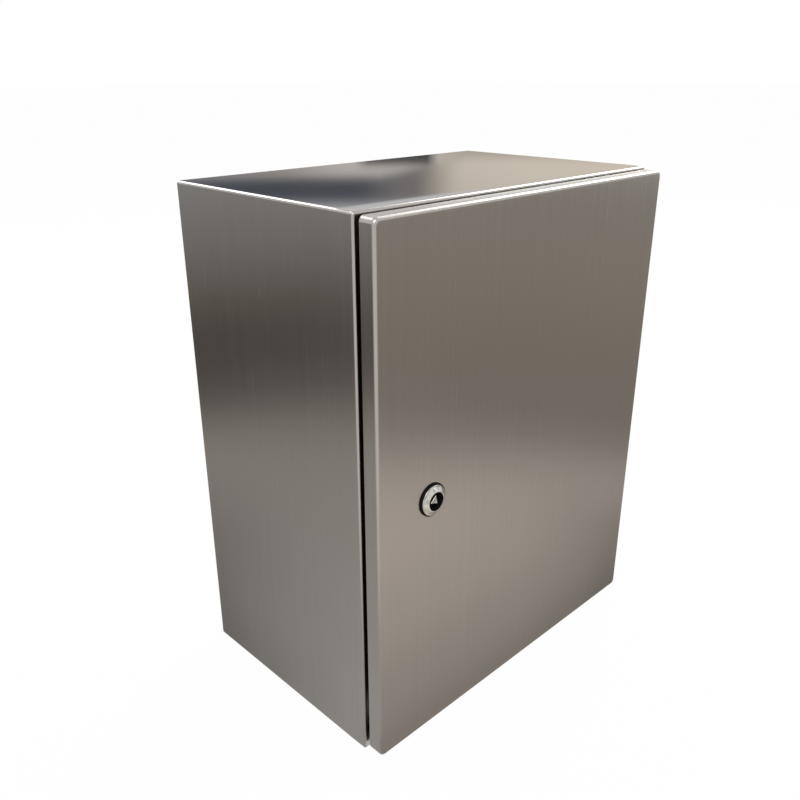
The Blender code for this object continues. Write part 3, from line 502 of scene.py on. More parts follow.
def flange_nut(name, radius, height):
    """Hexagon flange nut on z = 0 with turned-down corners and serrations under its flange."""
    per_side = 8
    count = 6 * per_side
    across = ACROSS[radius]
    flange = 1.36 * across / 2
    bore = radius + 0.0002
    hexa, crown = hexagon(across, per_side, 0.0002), hexagon(across, per_side, 0.0006)
    teeth = [(x * t, y * t) for (x, y), t in
             zip(circle(flange, count), [0.985, 0.985, 1.0, 1.0] * (count // 4))]
    rings = [
        ring_of(flange * 0.94, 0.0, count), raised(teeth, height * 0.05),
        raised(teeth, height * 0.12), ring_of(flange * 0.96, height * 0.16, count),
        raised(hexa, height * 0.30, 1.01), raised(hexa, height * 0.34),
        raised(hexa, height * 0.86), raised(crown, height * 0.93, 0.985),
        ring_of(across * 0.46, height, count), ring_of(bore + 0.0005, height, count),
        ring_of(bore, height - 0.0005, count), ring_of(bore, 0.0004, count),
        ring_of(bore + 0.0004, 0.0, count),
    ]
    return to_object(name, skin(rings, True), [M["zinc"]])


def bolted(bolt, name, radius, base, thread_low, way, body="cabinet"):
    """The weld stud that stands for a node, the washer on it if it has one, and its nut."""
    nut_name, ring_name = name.replace("stud", "nut"), name.replace("stud", "washer")
    centre = centre_of(name)
    piece = stud(bolt, radius, base, thread_low, length_of(name, way))
    set_on(piece, name, way, centre, body)
    if ring_name in NODES:
        ring = washer(name.replace("stud", "ring"), 2 * radius, radius + 0.0002, 0.0,
                      length_of(ring_name, way))
        set_on(ring, ring_name, way, centre, body)
    nut = flange_nut(name.replace("stud", "flange_nut"), radius, length_of(nut_name, way))
    set_on(nut, nut_name, way, centre, body)


def washer(name, outer, bore, low, high):
    soft = 0.00015
    profile = [
        (outer - soft, low), (outer, low + soft), (outer, high - soft), (outer - soft, high),
        (bore + soft, high), (bore, high - soft), (bore, low + soft), (bore + soft, low),
    ]
    return turned(name, profile, 48, M["zinc"], closed=True)


def socket_screw(name, head_radius, head_height, tail):
    """Low button head on z = 0 with a hexagon socket, and a threaded shank below."""
    steps = 24
    slope = radians(75)  # of the head's dome, at its foot
    socket = hexagon(0.0025, 4)
    rings = [ring_of(M4 * CORE, -tail, steps)]
    rings += thread_rings(M4, -tail + M4 / 4, -0.0003, steps)
    rings += [ring_of(head_radius * 0.96, 0.0, steps), ring_of(head_radius, 0.00025, steps)]
    for i in range(1, 7):
        lift = slope * i / 6
        rings.append(ring_of(head_radius * (0.42 + 0.58 * cos(lift)),
                             0.0003 + (head_height - 0.0003) * sin(lift) / sin(slope), steps))
    rings += [
        raised(socket, head_height, 1.12), raised(socket, head_height - 0.0002),
        raised(socket, head_height - 0.0014), raised(socket, head_height - 0.0017, 0.3),
    ]
    return to_object(name, skin(rings, False), [M["zinc"]])


# ---- cabinet body ----
BODY_BEND, BODY_CORNER, INNER_BEND = 0.0022, 0.0025, 0.0006
RIM_INSET = FLANGE_WIDTH + SHEET
# Each wall leans in slightly over its last few millimetres before the front bend.
LEAD_IN = [(0.0, 0.0200), (0.00002, 0.0155), (0.00007, 0.0110), (0.00014, 0.0075),
           (0.00023, 0.0042)]


def body_section():
    """One wall from its rear edge round the flange and rim and back: (inset, y, corner radius)."""
    points = [(0.0003, REAR_Y, BODY_CORNER), (0.0, REAR_Y - 0.0003, BODY_CORNER)]
    for inset, ahead in LEAD_IN:
        points.append((inset, FRONT_Y + ahead, BODY_CORNER))
    start = (BODY_BEND + LEAD_IN[-1][0], FRONT_Y + BODY_BEND)
    for inset, y in arc(start, BODY_BEND, 182, 270, 10):
        points.append((inset, y, max(BODY_CORNER - inset, INNER_BEND)))
    points.append((BODY_BEND + 0.002, FRONT_Y, INNER_BEND))
    soft = 0.0012
    for inset, y in arc((FLANGE_WIDTH - soft, FRONT_Y - soft), soft, 90, 0, 4):
        points.append((inset, y, RIM_CORNER))
    points.append((FLANGE_WIDTH, RIM_TIP_Y + 0.0003, RIM_CORNER))
    points.append((FLANGE_WIDTH + 0.0003, RIM_TIP_Y, RIM_CORNER - 0.0003))
    points.append((RIM_INSET - 0.0003, RIM_TIP_Y, RIM_CORNER - SHEET + 0.0003))
    points.append((RIM_INSET, RIM_TIP_Y + 0.0003, RIM_CORNER - SHEET))
    outer = SHEET + soft
    for inset, y in arc((RIM_INSET - outer, FRONT_Y + SHEET - outer), outer, 0, 90, 5):
        points.append((inset, y, RIM_CORNER - SHEET))
    inner_corner = BODY_CORNER - SHEET
    bend = 0.001
    for inset, y in arc((SHEET + bend, FRONT_Y + SHEET + bend), bend, 270, 180, 5):
        points.append((inset, y, inner_corner))
    points.append((SHEET, REAR_Y, inner_corner))
    return points


GLAND_BORDER = 0.016


def gland_outline(border):
    half = size_of("gland_plate") / 2
    reach = border - GLAND_BORDER
    middle = centre_of("gland_plate").y
    outline = rounded_rectangle(half.x + reach, half.y + reach, 0.006)
    return [(x, y + middle) for x, y in outline]


SCREWS = named("hinge_screw_")


def make_body():
    rings = frame_rings(body_section(), HALF_WIDTH, MID_HEIGHT, 10)
    body = to_object("body_shell", skin(rings, True), [M["body"], M["polished"]])
    opening = prism("opening", gland_outline(0.0), -SHEET, 2 * SHEET, None)
    places = [(centre_of(s).x, FRONT_Y, centre_of(s).z) for s in SCREWS]
    cut(body, opening, holes("screw_holes", places, M4 + 0.0003, 4 * SHEET))
    for face in body.data.polygons:
        if abs(face.normal.z) > 0.7:
            face.material_index = 1
    placed(body, "cabinet", "body_wrap")


def make_rear():
    inset = SHEET + SEAT_GAP
    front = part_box("rear_panel")[0].y
    corner = BODY_CORNER - SHEET
    profile = [(inset + 0.0002, REAR_Y, corner), (inset, REAR_Y - 0.0002, corner),
               (inset, front + 0.0002, corner), (inset + 0.0002, front, corner)]
    rings = frame_rings(profile, HALF_WIDTH, MID_HEIGHT)
    panel = to_object("rear_sheet", skin(rings, False), [M["body"]])
    plugs = named("wall_hole_plug_")
    places = [(centre_of(p).x, REAR_Y, centre_of(p).z) for p in plugs]
    cut(panel, holes("wall_holes", places, 0.0045, 4 * SHEET))
    placed(panel, "cabinet", "rear_panel")
    for name in plugs:
        profile = [
            (0.0008, -SHEET + 0.0006), (0.0030, -SHEET + 0.0006), (0.0036, -SHEET),
            (0.0041, -SHEET), (0.0043, -SHEET + 0.0004), (0.0043, SEAT_GAP),
            (0.0077, SEAT_GAP), (0.0080, 0.0006), (0.0079, 0.0013), (0.0074, 0.0020),
            (0.0064, 0.0024), (0.0050, 0.0025), (0.0020, 0.0025), (0.0016, 0.0022),
            (0.0008, 0.0021),
        ]
        plug = turned(name.replace("wall_hole_plug", "plug"), profile, 40, M["plastic"])
        facing(plug, (centre_of(name).x, front, centre_of(name).z))
        placed(plug, "cabinet", name, sharp=50)


# ---- gland plate, mounting plate, earthing ----
def make_gland():
    names = named("gland_stud_")
    places = [centre_of(name) for name in names]
    low, high = (corner.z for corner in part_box("gland_gasket"))
    rings = [raised(gland_outline(border), z) for border, z in
             ((0.0, low), (GLAND_BORDER, low), (GLAND_BORDER, high), (0.0, high))]
    pad = to_object("gland_pad", skin(rings, True), [M["gland_foam"]])
    cut(pad, holes("pad_holes", [(p.x, p.y, low) for p in places], 0.005, 0.02, "Z"))
    eased(pad, 0.0005)
    placed(pad, "cabinet", "gland_gasket")
    low, high = (corner.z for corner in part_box("gland_plate"))
    plate = prism("gland_sheet", gland_outline(GLAND_BORDER), low, high, M["polished"])
    cut(plate, holes("plate_holes", [(p.x, p.y, low) for p in places], 0.0035, 0.02, "Z"))
    eased(plate, 0.0003)
    placed(plate, "cabinet", "gland_plate")
    base = [(M6 * 1.45, 0.0), (M6 * 1.5, 0.0003), (M6 * 1.4, 0.0006), (M6, 0.0008)]
    for name in names:
        bolted(name.replace("stud", "bolt"), name, M6, base, 0.0010, "up")


def make_mounting_plate():
    low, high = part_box("mounting_plate")
    sheet = 0.002
    outline = channel(0.0, high.x, low.y, high.y, sheet, 0.003, 8)
    plate = prism("device_plate", outline, low.z, high.z, M["galvanised"])
    names = named("plate_stud_")
    places = [(centre_of(n).x, low.y + sheet / 2, centre_of(n).z) for n in names]
    cut(plate, holes("device_holes", places, M8 + 0.0005, 4 * sheet))
    eased(plate, 0.00025, 2, 50)
    placed(plate, "cabinet", "mounting_plate")
    for name in names:
        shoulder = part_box(name)[1].y - (low.y + sheet) - SEAT_GAP
        base = [
            (0.0079, 0.0), (0.0080, 0.0004), (0.0078, 0.0014), (0.0068, 0.0020),
            (0.0060, 0.0021), (0.0060, shoulder - 0.0003), (0.0057, shoulder), (M8, shoulder),
        ]
        bolted(name.replace("plate_stud", "standoff"), name, M8, base, shoulder + 0.0002, "front")


def make_earth(side, body):
    """Earthing stud: on the floor of the body, or behind the door."""
    way = "up" if side == "body" else "rear"
    base = [(0.0056, 0.0), (0.0060, 0.0004), (0.0058, 0.0011), (0.0045, 0.0015), (M6, 0.0015)]
    bolted(side + "_earth_bolt", side + "_earth_stud", M6, base, 0.0017, way, body)


# ---- hinges ----
HINGE_X, HINGE_Y = centre_of("hinge_pin_lower").xy
KNUCKLE, HINGE_ARM, HINGE_NECK = 0.0042, 0.0036, 0.0028
KNUCKLE_NEAR, KNUCKLE_FAR = 0.0125, 0.0245  # from the hinge's middle
PIN_RADIUS = 0.0025
PIN_BORE = PIN_RADIUS + 0.0002
LEAF_SHEET = 0.0022


def make_hinge(where):
    leaf_name = f"hinge_body_leaf_{where}"
    low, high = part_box(leaf_name)
    middle = (low.z + high.z) / 2
    base_front = FRONT_Y - SEAT_GAP - 0.0025
    screws = [name for name in SCREWS if where in name]
    screw_x = centre_of(screws[0]).x
    base_right = 2 * screw_x - low.x
    base = block(f"hinge_base_{where}", (low.x, base_front, low.z),
                 (base_right, FRONT_Y - SEAT_GAP, high.z), M["zinc"])
    eased(base, 0.0005, 3)
    swing = hypot(DOOR_HIGH.x - HINGE_X, DOOR_HIGH.y - HINGE_Y) + 0.001
    neck_right = HINGE_X - swing
    neck_left = neck_right - HINGE_NECK
    arm_front = HINGE_Y - HINGE_ARM
    meet = degrees(acos(HINGE_ARM / KNUCKLE))
    bend = LEAF_SHEET
    outline = [(neck_left, FRONT_Y - 0.0012), (neck_left, arm_front + bend)]
    outline += arc((neck_left + bend, arm_front + bend), bend, 180, 270, 6)
    outline += arc((HINGE_X, HINGE_Y), KNUCKLE, 270 - meet, 540, 28)
    outline += [(neck_right, HINGE_Y), (neck_right, FRONT_Y - 0.0012)]
    spans = ((-KNUCKLE_FAR, -KNUCKLE_NEAR), (KNUCKLE_NEAR, KNUCKLE_FAR))
    for i, (start, end) in enumerate(spans):
        arm = prism(f"arm_{where}_{i}", outline, middle + start, middle + end, M["zinc"])
        eased(arm, 0.0004, 2, 50)
        fuse(base, arm)
    bore = holes("bore", [(HINGE_X, HINGE_Y, middle)], PIN_BORE, 0.09, "Z")
    places = [(screw_x, base_front, centre_of(s).z) for s in screws]
    cut(base, bore, holes("screw_holes", places, M4 + 0.0005, 0.01))
    placed(base, "cabinet", leaf_name)
    for name in screws:
        screw_low, screw_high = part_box(name)
        head = base_front - SEAT_GAP - screw_low.y
        screw = socket_screw(name.replace("hinge_screw", "socket_screw"), 0.0035, head,
                             screw_high.y - base_front + SEAT_GAP)
        facing(screw, (screw_x, base_front - SEAT_GAP, centre_of(name).z))
        placed(screw, "cabinet", name)
    pin_low, pin_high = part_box(f"hinge_pin_{where}")
    top = pin_high.z - 0.0015
    profile = [
        (0.0019, pin_low.z), (0.0023, pin_low.z + 0.0004), (PIN_RADIUS, pin_low.z + 0.0012),
        (PIN_RADIUS, top), (0.0035, top), (0.0038, top + 0.0003), (0.0037, top + 0.0009),
        (0.0030, top + 0.0014), (0.0018, pin_high.z),
    ]
    pin = turned(f"pin_{where}", profile, 36, M["zinc"])
    pin.data.transform(Matrix.Translation((HINGE_X, HINGE_Y, 0.0)))
    placed(pin, "cabinet", f"hinge_pin_{where}", sharp=50)
    make_door_leaf(where)


def make_door_leaf(where):
    name = f"hinge_door_leaf_{where}"
    low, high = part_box(name)
    plate_rear = low.y + LEAF_SHEET
    fillet = 0.001
    outline = [(HINGE_X + KNUCKLE, low.y), (HINGE_X + KNUCKLE, HINGE_Y)]
    outline += arc((HINGE_X, HINGE_Y), KNUCKLE, 0, 180, 24)[1:]
    corner = (HINGE_X - KNUCKLE - fillet, plate_rear + fillet)
    if corner[1] < HINGE_Y:
        outline += arc(corner, fillet, 0, -90, 4)
    else:
        outline.append((HINGE_X - KNUCKLE, plate_rear))
    outline += [(low.x, plate_rear), (low.x, low.y)]
    leaf = prism(f"door_knuckle_{where}", outline, low.z, high.z, M["zinc"])
    eased(leaf, 0.0003, 2, 50)
    cut(leaf, holes("bore", [(HINGE_X, HINGE_Y, centre_of(name).z)], PIN_BORE, 0.05, "Z"))
    placed(leaf, "door", name)


# ---- door ----
DOOR_BEND, DOOR_CORNER = 0.003, 0.005
DOOR_INSET = HALF_WIDTH - DOOR_HIGH.x
DOOR_INNER_Y = DOOR_LOW.y + SHEET
BARREL, BARREL_FLAT = 0.011, 0.010  # lock barrel's radius, and half its width across the flats


def lock_outline(clearance):
    radius, flat = BARREL + clearance, BARREL_FLAT + clearance
    start = degrees(acos(flat / radius))
    outline = arc((0.0, 0.0), radius, start, 180 - start, 24)
    return outline + arc((0.0, 0.0), radius, 180 + start, 360 - start, 24)


def make_door():
    front, rear = DOOR_LOW.y, DOOR_HIGH.y
    profile = [(DOOR_BEND + 0.003, front, INNER_BEND)]
    for inset, y in arc((DOOR_BEND, front + DOOR_BEND), DOOR_BEND, 270, 180, 10):
        profile.append((inset, y, max(DOOR_CORNER - inset / 2, INNER_BEND)))
    profile += [
        (0.0, front + DOOR_BEND + 0.001, DOOR_CORNER),
        (0.0, rear - 0.0003, DOOR_CORNER), (0.0003, rear, DOOR_CORNER),
        (SHEET - 0.0003, rear, DOOR_CORNER - SHEET), (SHEET, rear - 0.0003, DOOR_CORNER - SHEET),
    ]
    bend = DOOR_BEND - SHEET
    for inset, y in arc((SHEET + bend, DOOR_INNER_Y + bend), bend, 180, 270, 5):
        profile.append((inset, y, DOOR_CORNER - SHEET))
    profile.append((SHEET + bend + 0.003, DOOR_INNER_Y, DOOR_CORNER - SHEET))
    rings = frame_rings(profile, HALF_WIDTH - DOOR_INSET, (DOOR_HIGH.z - DOOR_LOW.z) / 2, 10)
    door = to_object("door_pan", skin(rings, False), [M["door"]])
    outline = [(x + LOCK_X, z + MID_HEIGHT) for x, z in lock_outline(SEAT_GAP)]
    cut(door, prism("lock_hole", outline, front - SHEET, DOOR_INNER_Y + SHEET, None, "Y"))
    placed(door, "door", "door_panel")


def make_door_seal():
    """Poured foam strip: a soft bead with an uneven skin."""
    low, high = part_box("door_gasket")
    seat, crown = low.y, high.y
    outer = HALF_WIDTH - high.x
    width = 0.010
    corner = RIM_CORNER + width / 2
    profile = []
    for across, height in [
        (0.0, 0.0), (0.0, 0.35), (0.01, 0.62), (0.04, 0.78), (0.09, 0.88), (0.17, 0.95),
        (0.30, 0.985), (0.45, 1.0), (0.55, 1.0), (0.70, 0.985), (0.83, 0.95), (0.91, 0.88),
        (0.96, 0.78), (0.99, 0.62), (1.0, 0.35), (1.0, 0.0),
    ]:
        profile.append((outer + width * across, seat + (crown - seat) * height,
                        corner - width * across))
    rings = frame_rings(profile, HALF_WIDTH, MID_HEIGHT, 10, runs=90)
    strip = to_object("seal_strip", skin(rings, True), [M["foam"]])
    for vertex in strip.data.vertices:
        height = (vertex.co.y - seat) / (crown - seat)
        if 0.5 < height:
            lump = noise.noise(vertex.co * 45) + 0.6 * noise.noise(vertex.co * 160)
            vertex.co.y -= 0.00022 * (1 + lump) * height
    placed(strip, "door", "door_gasket", sharp=60)


def make_rail(side):
    name = f"door_rail_{side}"
    low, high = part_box(name)
    x, half = centre_of(name).x, size_of(name).x / 2
    sheet = 0.0015
    outline = channel(x, half, high.y, low.y, sheet, 1.5 * sheet, 7)
    rail = prism(f"rail_{side}", outline, low.z, high.z, M["door"])
    pitch = 0.025
    count = int((high.z - low.z - pitch / 2) / pitch)
    first = MID_HEIGHT - (count - 1) * pitch / 2
    places = [(x, high.y - sheet / 2, first + i * pitch) for i in range(count)]
    cut(rail, holes("rail_holes", places, 0.004, 3 * sheet))
    eased(rail, 0.0002, 2, 50)
    placed(rail, "door", name)


# ---- lock ----
def reach_of(name):
    """How far a lock node's rear and front stand before the body's front."""
    low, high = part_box(name)
    return FRONT_Y - high.y, FRONT_Y - low.y


BARREL_BORE = BARREL + SEAT_GAP
BEZEL_RADIUS = size_of("lock_housing").x / 2
BEZEL_FRONT = reach_of("lock_housing")[1]
BEZEL_BACK = BEZEL_FRONT - 0.0036
RECESS = 0.0086
RECESS_FLOOR = BEZEL_FRONT - 0.0095
CAM_FRONT = reach_of("lock_cam")[1]
LOCK_PLACE = (LOCK_X, FRONT_Y, MID_HEIGHT)
TICKS = (101, 74)  # degrees, marks on the bezel
DRIVE_TURN = 90 - 17  # degrees, first corner of the three-cornered drive
CAM_SHEET = 0.003


def in_lock(piece, body, name, sharp=34):
    facing(piece, LOCK_PLACE)
    placed(piece, body, name, sharp)


def make_lock_housing():
    bore = 0.0058
    rim = BEZEL_BACK + 0.0009
    face = 0.0095
    barrel_end = CAM_FRONT + SEAT_GAP
    profile = [
        (BARREL - 0.0003, barrel_end), (BARREL, barrel_end + 0.0003), (BARREL, BEZEL_BACK),
        (BEZEL_RADIUS - 0.0001, BEZEL_BACK), (BEZEL_RADIUS, BEZEL_BACK + 0.0001),
        (BEZEL_RADIUS, rim - 0.00035), (BEZEL_RADIUS - 0.00012, rim - 0.00012),
        (BEZEL_RADIUS - 0.0004, rim), (BEZEL_RADIUS - 0.0011, rim + 0.0001),
        (BEZEL_RADIUS - 0.0014, rim + 0.0003),
        (face + 0.0005, BEZEL_FRONT - 0.0004), (face + 0.0001, BEZEL_FRONT - 0.0001),
        (face - 0.0002, BEZEL_FRONT), (RECESS + 0.0003, BEZEL_FRONT),
        (RECESS + 0.0001, BEZEL_FRONT - 0.0001), (RECESS, BEZEL_FRONT - 0.0004),
        (RECESS, BEZEL_FRONT - 0.0020), (RECESS, RECESS_FLOOR), (bore, RECESS_FLOOR),
        (bore, barrel_end),
    ]
    housing = turned("lock_body", profile, 128, M["chrome"], closed=True)
    over = 0.03
    tools = [
        block("flat_right", (BARREL_FLAT, -over, barrel_end - over), (over, over, BEZEL_BACK)),
        block("flat_left", (-over, -over, barrel_end - over), (-BARREL_FLAT, over, BEZEL_BACK)),
    ]
    for i, angle in enumerate(TICKS):
        tick = block(f"tick_{i}", (0.0104, -0.0003, BEZEL_FRONT - 0.0030),
                     (0.0122, 0.0003, BEZEL_FRONT + 0.001))
        tick.data.transform(Matrix.Rotation(radians(angle), 4, "Z"))
        tools.append(tick)
    cut(housing, *tools)
    housing.data.materials.clear()
    for material in (M["chrome"], M["black"]):
        housing.data.materials.append(material)
    # The recess is black as painted shade of its depth, and the floors of the two marks are black.
    for polygon in housing.data.polygons:
        x, y, z = polygon.center
        away = hypot(x, y)
        marked = abs(away - 0.0113) < 0.0010 and any(
            abs(degrees(atan2(y, x)) - angle) < 1.9 for angle in TICKS)
        cone = BEZEL_FRONT - 0.0002 - (away - face) * 0.72
        # painted shade: the recess wall below the lip and the recess floor take the black material
        inside = away < RECESS + 0.00005 and z < BEZEL_FRONT - 0.0019
        polygon.material_index = int(inside or (marked and z < cone))
    in_lock(housing, "door", "lock_housing", 40)


def make_lock_ring():
    low, high = reach_of("lock_gasket")
    radius = size_of("lock_gasket").x / 2
    profile = [
        (BARREL_BORE, low), (radius - 0.0002, low), (radius, low + 0.0002),
        (radius, high - 0.0005), (radius - 0.00015, high - 0.0002), (radius - 0.0005, high),
        (BARREL_BORE, high),
    ]
    ring = turned("lock_seal", profile, 96, M["rubber"], closed=True)
    in_lock(ring, "door", "lock_gasket")


def make_lock_nut():
    low, high = reach_of("lock_nut")
    across, per_side = 0.027, 8
    hexa, worn = hexagon(across, per_side), hexagon(across, per_side, 0.0012)
    rings = [
        raised(worn, high), raised(hexa, high - 0.0006), raised(hexa, low + 0.0006),
        raised(worn, low), ring_of(BARREL_BORE + 0.0004, low, 48),
        ring_of(BARREL_BORE, low + 0.0004, 48), ring_of(BARREL_BORE, high, 48),
    ]
    nut = to_object("barrel_nut", skin(rings, True), [M["zinc"]])
    in_lock(nut, "door", "lock_nut", 25)


def make_insert():
    floor = RECESS_FLOOR + 0.0003
    top = floor + 0.0016
    shoulder = CAM_FRONT + SEAT_GAP
    radius = size_of("lock_insert").x / 2
    profile = [
        (0.0052, shoulder), (0.0055, shoulder + 0.0003), (0.0055, floor), (radius, floor),
        (radius, top - 0.0003), (radius - 0.0003, top), (0.0060, top), (0.0052, top - 0.0003),
    ]
    # The disc, which floors the recess, is black as painted shade of the recess.
    disc = turned("turning_disc", profile, 72, M["black"])
    corners = arc((0.0, 0.0), 0.0053, DRIVE_TURN, DRIVE_TURN + 360, 3)[:-1]
    drive = prism("key_drive", corners, top - 0.0008, reach_of("lock_insert")[1], M["chrome"])
    eased(drive, 0.0006, 3)
    half = 0.0035
    rear = CAM_FRONT - CAM_SHEET
    square = block("cam_square", (-half, -half, rear), (half, half, shoulder + SHEET), M["zinc"])
    thread = prism("thread", circle(M4 + 0.0002, 24), rear - SHEET, rear + 0.0083, None)
    fuse(disc, square)
    cut(disc, thread)
    in_lock(disc, "latch", "lock_insert")
    in_lock(drive, "latch", "lock_insert", 60)


def make_cam():
    half, reach = 0.009, MID_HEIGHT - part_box("lock_cam")[0].z
    tip = half * 0.6
    outline = arc((0.0, 0.0), half, 0, 180, 28)
    outline += arc((-half + tip, -reach + tip), tip, 180, 270, 10)
    outline += arc((half - tip, -reach + tip), tip, 270, 360, 10)
    low, high = CAM_FRONT - CAM_SHEET, CAM_FRONT
    cam = prism("cam_arm", outline, low, high, M["zinc"])
    side = 0.0038
    cut(cam, block("square_hole", (-side, -side, low - CAM_SHEET), (side, side, high + CAM_SHEET)))
    eased(cam, 0.0004, 3, 50)
    in_lock(cam, "latch", "lock_cam")
    ring_low, ring_high = reach_of("cam_washer")
    ring = washer("cam_ring", size_of("cam_washer").x / 2, M4 + 0.0005, ring_low, ring_high)
    in_lock(ring, "latch", "cam_washer")
    head_low, tip = reach_of("cam_screw")
    head_high = ring_low - SEAT_GAP
    across, per_side = 0.007, 4
    steps = 6 * per_side
    hexa = hexagon(across, per_side)
    rings = [
        ring_of(0.0015, head_low + 0.0002, steps), ring_of(0.0030, head_low, steps),
        raised(hexagon(across, per_side, 0.0003), head_low + 0.0003, 0.985),
        raised(hexa, head_low + 0.0006), raised(hexa, head_high - 0.0002),
        ring_of(0.0033, head_high, steps), ring_of(M4, head_high, steps),
    ]
    rings += thread_rings(M4, head_high + 0.0004, tip - 0.0003, steps)
    rings.append(ring_of(M4 * CORE, tip, steps))
    screw = to_object("cam_bolt", skin(rings, False), [M["zinc"]])
    in_lock(screw, "latch", "cam_screw")


make_body()
make_rear()
make_gland()
make_mounting_plate()
make_earth("body", "cabinet")
make_earth("door", "door")
make_hinge("lower")
make_hinge("upper")
make_door()
make_door_seal()
make_rail("left")
make_rail("right")
make_lock_housing()
make_lock_ring()
make_lock_nut()
make_insert()
make_cam()


# ---- studio ----
CAMERA_PLACE = (-0.38245976 - HALF_WIDTH, -0.43980505 + FRONT_Y, 0.59431196)
CAMERA_FOOT = CAMERA_PLACE[:2]
FLOOR_HALF, FLOOR_TOP = 30, -0.0004
WHITE = (1.0, 1.0, 1.0, 1.0)


def make_camera():
    data = bpy.data.cameras.new("camera")
    data.sensor_width = 36.0
    data.lens = 36.513
    camera = add_object("camera", data)
    right = (0.71474724, -0.69937955, -0.00215152)
    above = (0.26682977, 0.26984670, 0.92519438)
    behind = (-0.64648144, -0.66185422, 0.37948747)
    matrix = Matrix((right, above, behind)).transposed().to_4x4()
    matrix.translation = CAMERA_PLACE
    camera.matrix_world = matrix
    bpy.context.scene.camera = camera


def seen_directly(tree):
    """1 for camera, mirror and transmission rays, 0 for the rays that light the object."""
    path = node(tree, "LightPath")
    seen = math(tree, "ADD", path.outputs["Is Camera Ray"], path.outputs["Is Glossy Ray"])
    seen = math(tree, "ADD", seen, path.outputs["Is Transmission Ray"])
    return math(tree, "MINIMUM", seen, 1.0)


def blended(tree, share, first, second):
    """The material's surface: the first shader's output going over to the second's by share."""
    both = node(tree, "MixShader", {0: share, 1: first, 2: second})
    tree.links.new(both.outputs[0], tree.nodes["Material Output"].inputs["Surface"])


def pale_surface(name, shade, glow):
    """Diffuse surface that camera and mirror rays see lifted towards white by glow."""
    material, tree, shader = new_material(name)
    speckle = stretched_noise(tree, (3.0, 3.0, 3.0), detail=4.0)
    colour = mixed(tree, ranged(tree, speckle, 0.0, 1.0, 0.3, 0.7), grey(shade), grey(shade * 1.02))
    shader.inputs["Roughness"].default_value = 0.9
    shader.inputs["Specular IOR Level"].default_value = 0.2
    tree.links.new(colour, shader.inputs["Base Color"])
    light = node(tree, "Emission", {"Color": WHITE, "Strength": 1.0})
    lift = math(tree, "MULTIPLY", seen_directly(tree), glow)
    blended(tree, lift, shader.outputs[0], light.outputs[0])
    return material


def ramp(tree, value, reach, stops):
    """Colour over a value from 0 to reach, eased between its (value, colour or grey) stops."""
    made = node(tree, "ValToRGB", {"Fac": math(tree, "DIVIDE", value, reach)})
    made.color_ramp.interpolation = "B_SPLINE" if len(stops) > 6 else "EASE"
    elements = made.color_ramp.elements
    while len(elements) < len(stops):
        elements.new(0.5)
    for element, (position, colour) in zip(elements, stops):
        element.position = position / reach
        element.color = (*colour, 1.0) if isinstance(colour, tuple) else grey(colour)
    return made.outputs["Color"]


def times(tree, first, second):
    made = node(tree, "VectorMath", {0: first, 1: second}, operation="MULTIPLY")
    return made.outputs["Vector"]


def reflector(name, builder, build):
    """Studio card that only mirror rays see. build(tree, position) gives its light and how
    much of it shows."""
    material, tree, shader = new_material(name)
    tree.nodes.remove(shader)
    colour, shown = build(tree, position_in(tree))
    light = node(tree, "Emission", {"Color": colour, "Strength": 1.0})
    clear = node(tree, "BsdfTransparent")
    blended(tree, shown, clear.outputs[0], light.outputs[0])
    made = to_object(name, builder, [material])
    for kind in ("camera", "shadow", "diffuse", "transmission"):
        setattr(made, "visible_" + kind, False)


def from_point(tree, place, centre):
    moved = node(tree, "VectorMath", {0: place, 1: (*centre, 0.0)}, operation="SUBTRACT")
    return moved.outputs["Vector"]


def bearing(tree, moved):
    """Angle about Z in degrees."""
    split = node(tree, "SeparateXYZ", {"Vector": moved})
    angle = math(tree, "ARCTAN2", split.outputs["Y"], split.outputs["X"])
    return math(tree, "MULTIPLY", angle, 180 / pi)


MAT_REACH = 5.0


def mat(name, corners, centre, stops, axis, wall, near, fan, sides, inner):
    """Floor mat: toned by the distance from a centre, dimmed close to the cabinet's wall as a
    painted shadow of the cabinet, shaded by bearing inside a radius, and faded out at both sides of
    its fan of bearings."""

    def build(tree, place):
        moved = from_point(tree, place, centre)
        length = node(tree, "VectorMath", {0: moved}, operation="LENGTH")
        far = length.outputs["Value"]
        tone = ramp(tree, far, MAT_REACH, stops)
        split = node(tree, "SeparateXYZ", {"Vector": place})
        gap = math(tree, "ABSOLUTE", math(tree, "SUBTRACT", split.outputs[axis], wall))
        # painted shadow: the mat's light drops close to the cabinet's wall
        dim = ramp(tree, gap, 1.0, near)
        angle = bearing(tree, moved)
        side = ramp(tree, math(tree, "ABSOLUTE", angle), 180, sides)
        inside = ranged(tree, far, 1.0, 0.0, *inner)
        tone = times(tree, tone, mixed(tree, inside, WHITE, side))
        clear_low, full_low, full_high, clear_high = fan
        shown = math(tree, "MULTIPLY", ranged(tree, angle, 0.0, 1.0, clear_low, full_low),
                     ranged(tree, angle, 1.0, 0.0, full_high, clear_high))
        return times(tree, tone, dim), shown

    builder = bmesh.new()
    builder.faces.new([builder.verts.new((x, y, FLOOR_TOP / 2)) for x, y in corners])
    reflector(name, builder, build)


def tint(value, red=1.0, blue=1.0):
    """Tone of the warm room that a studio card stands in for."""
    return (value * 1.029 * red, value * 0.957, value * 0.891 * blue)


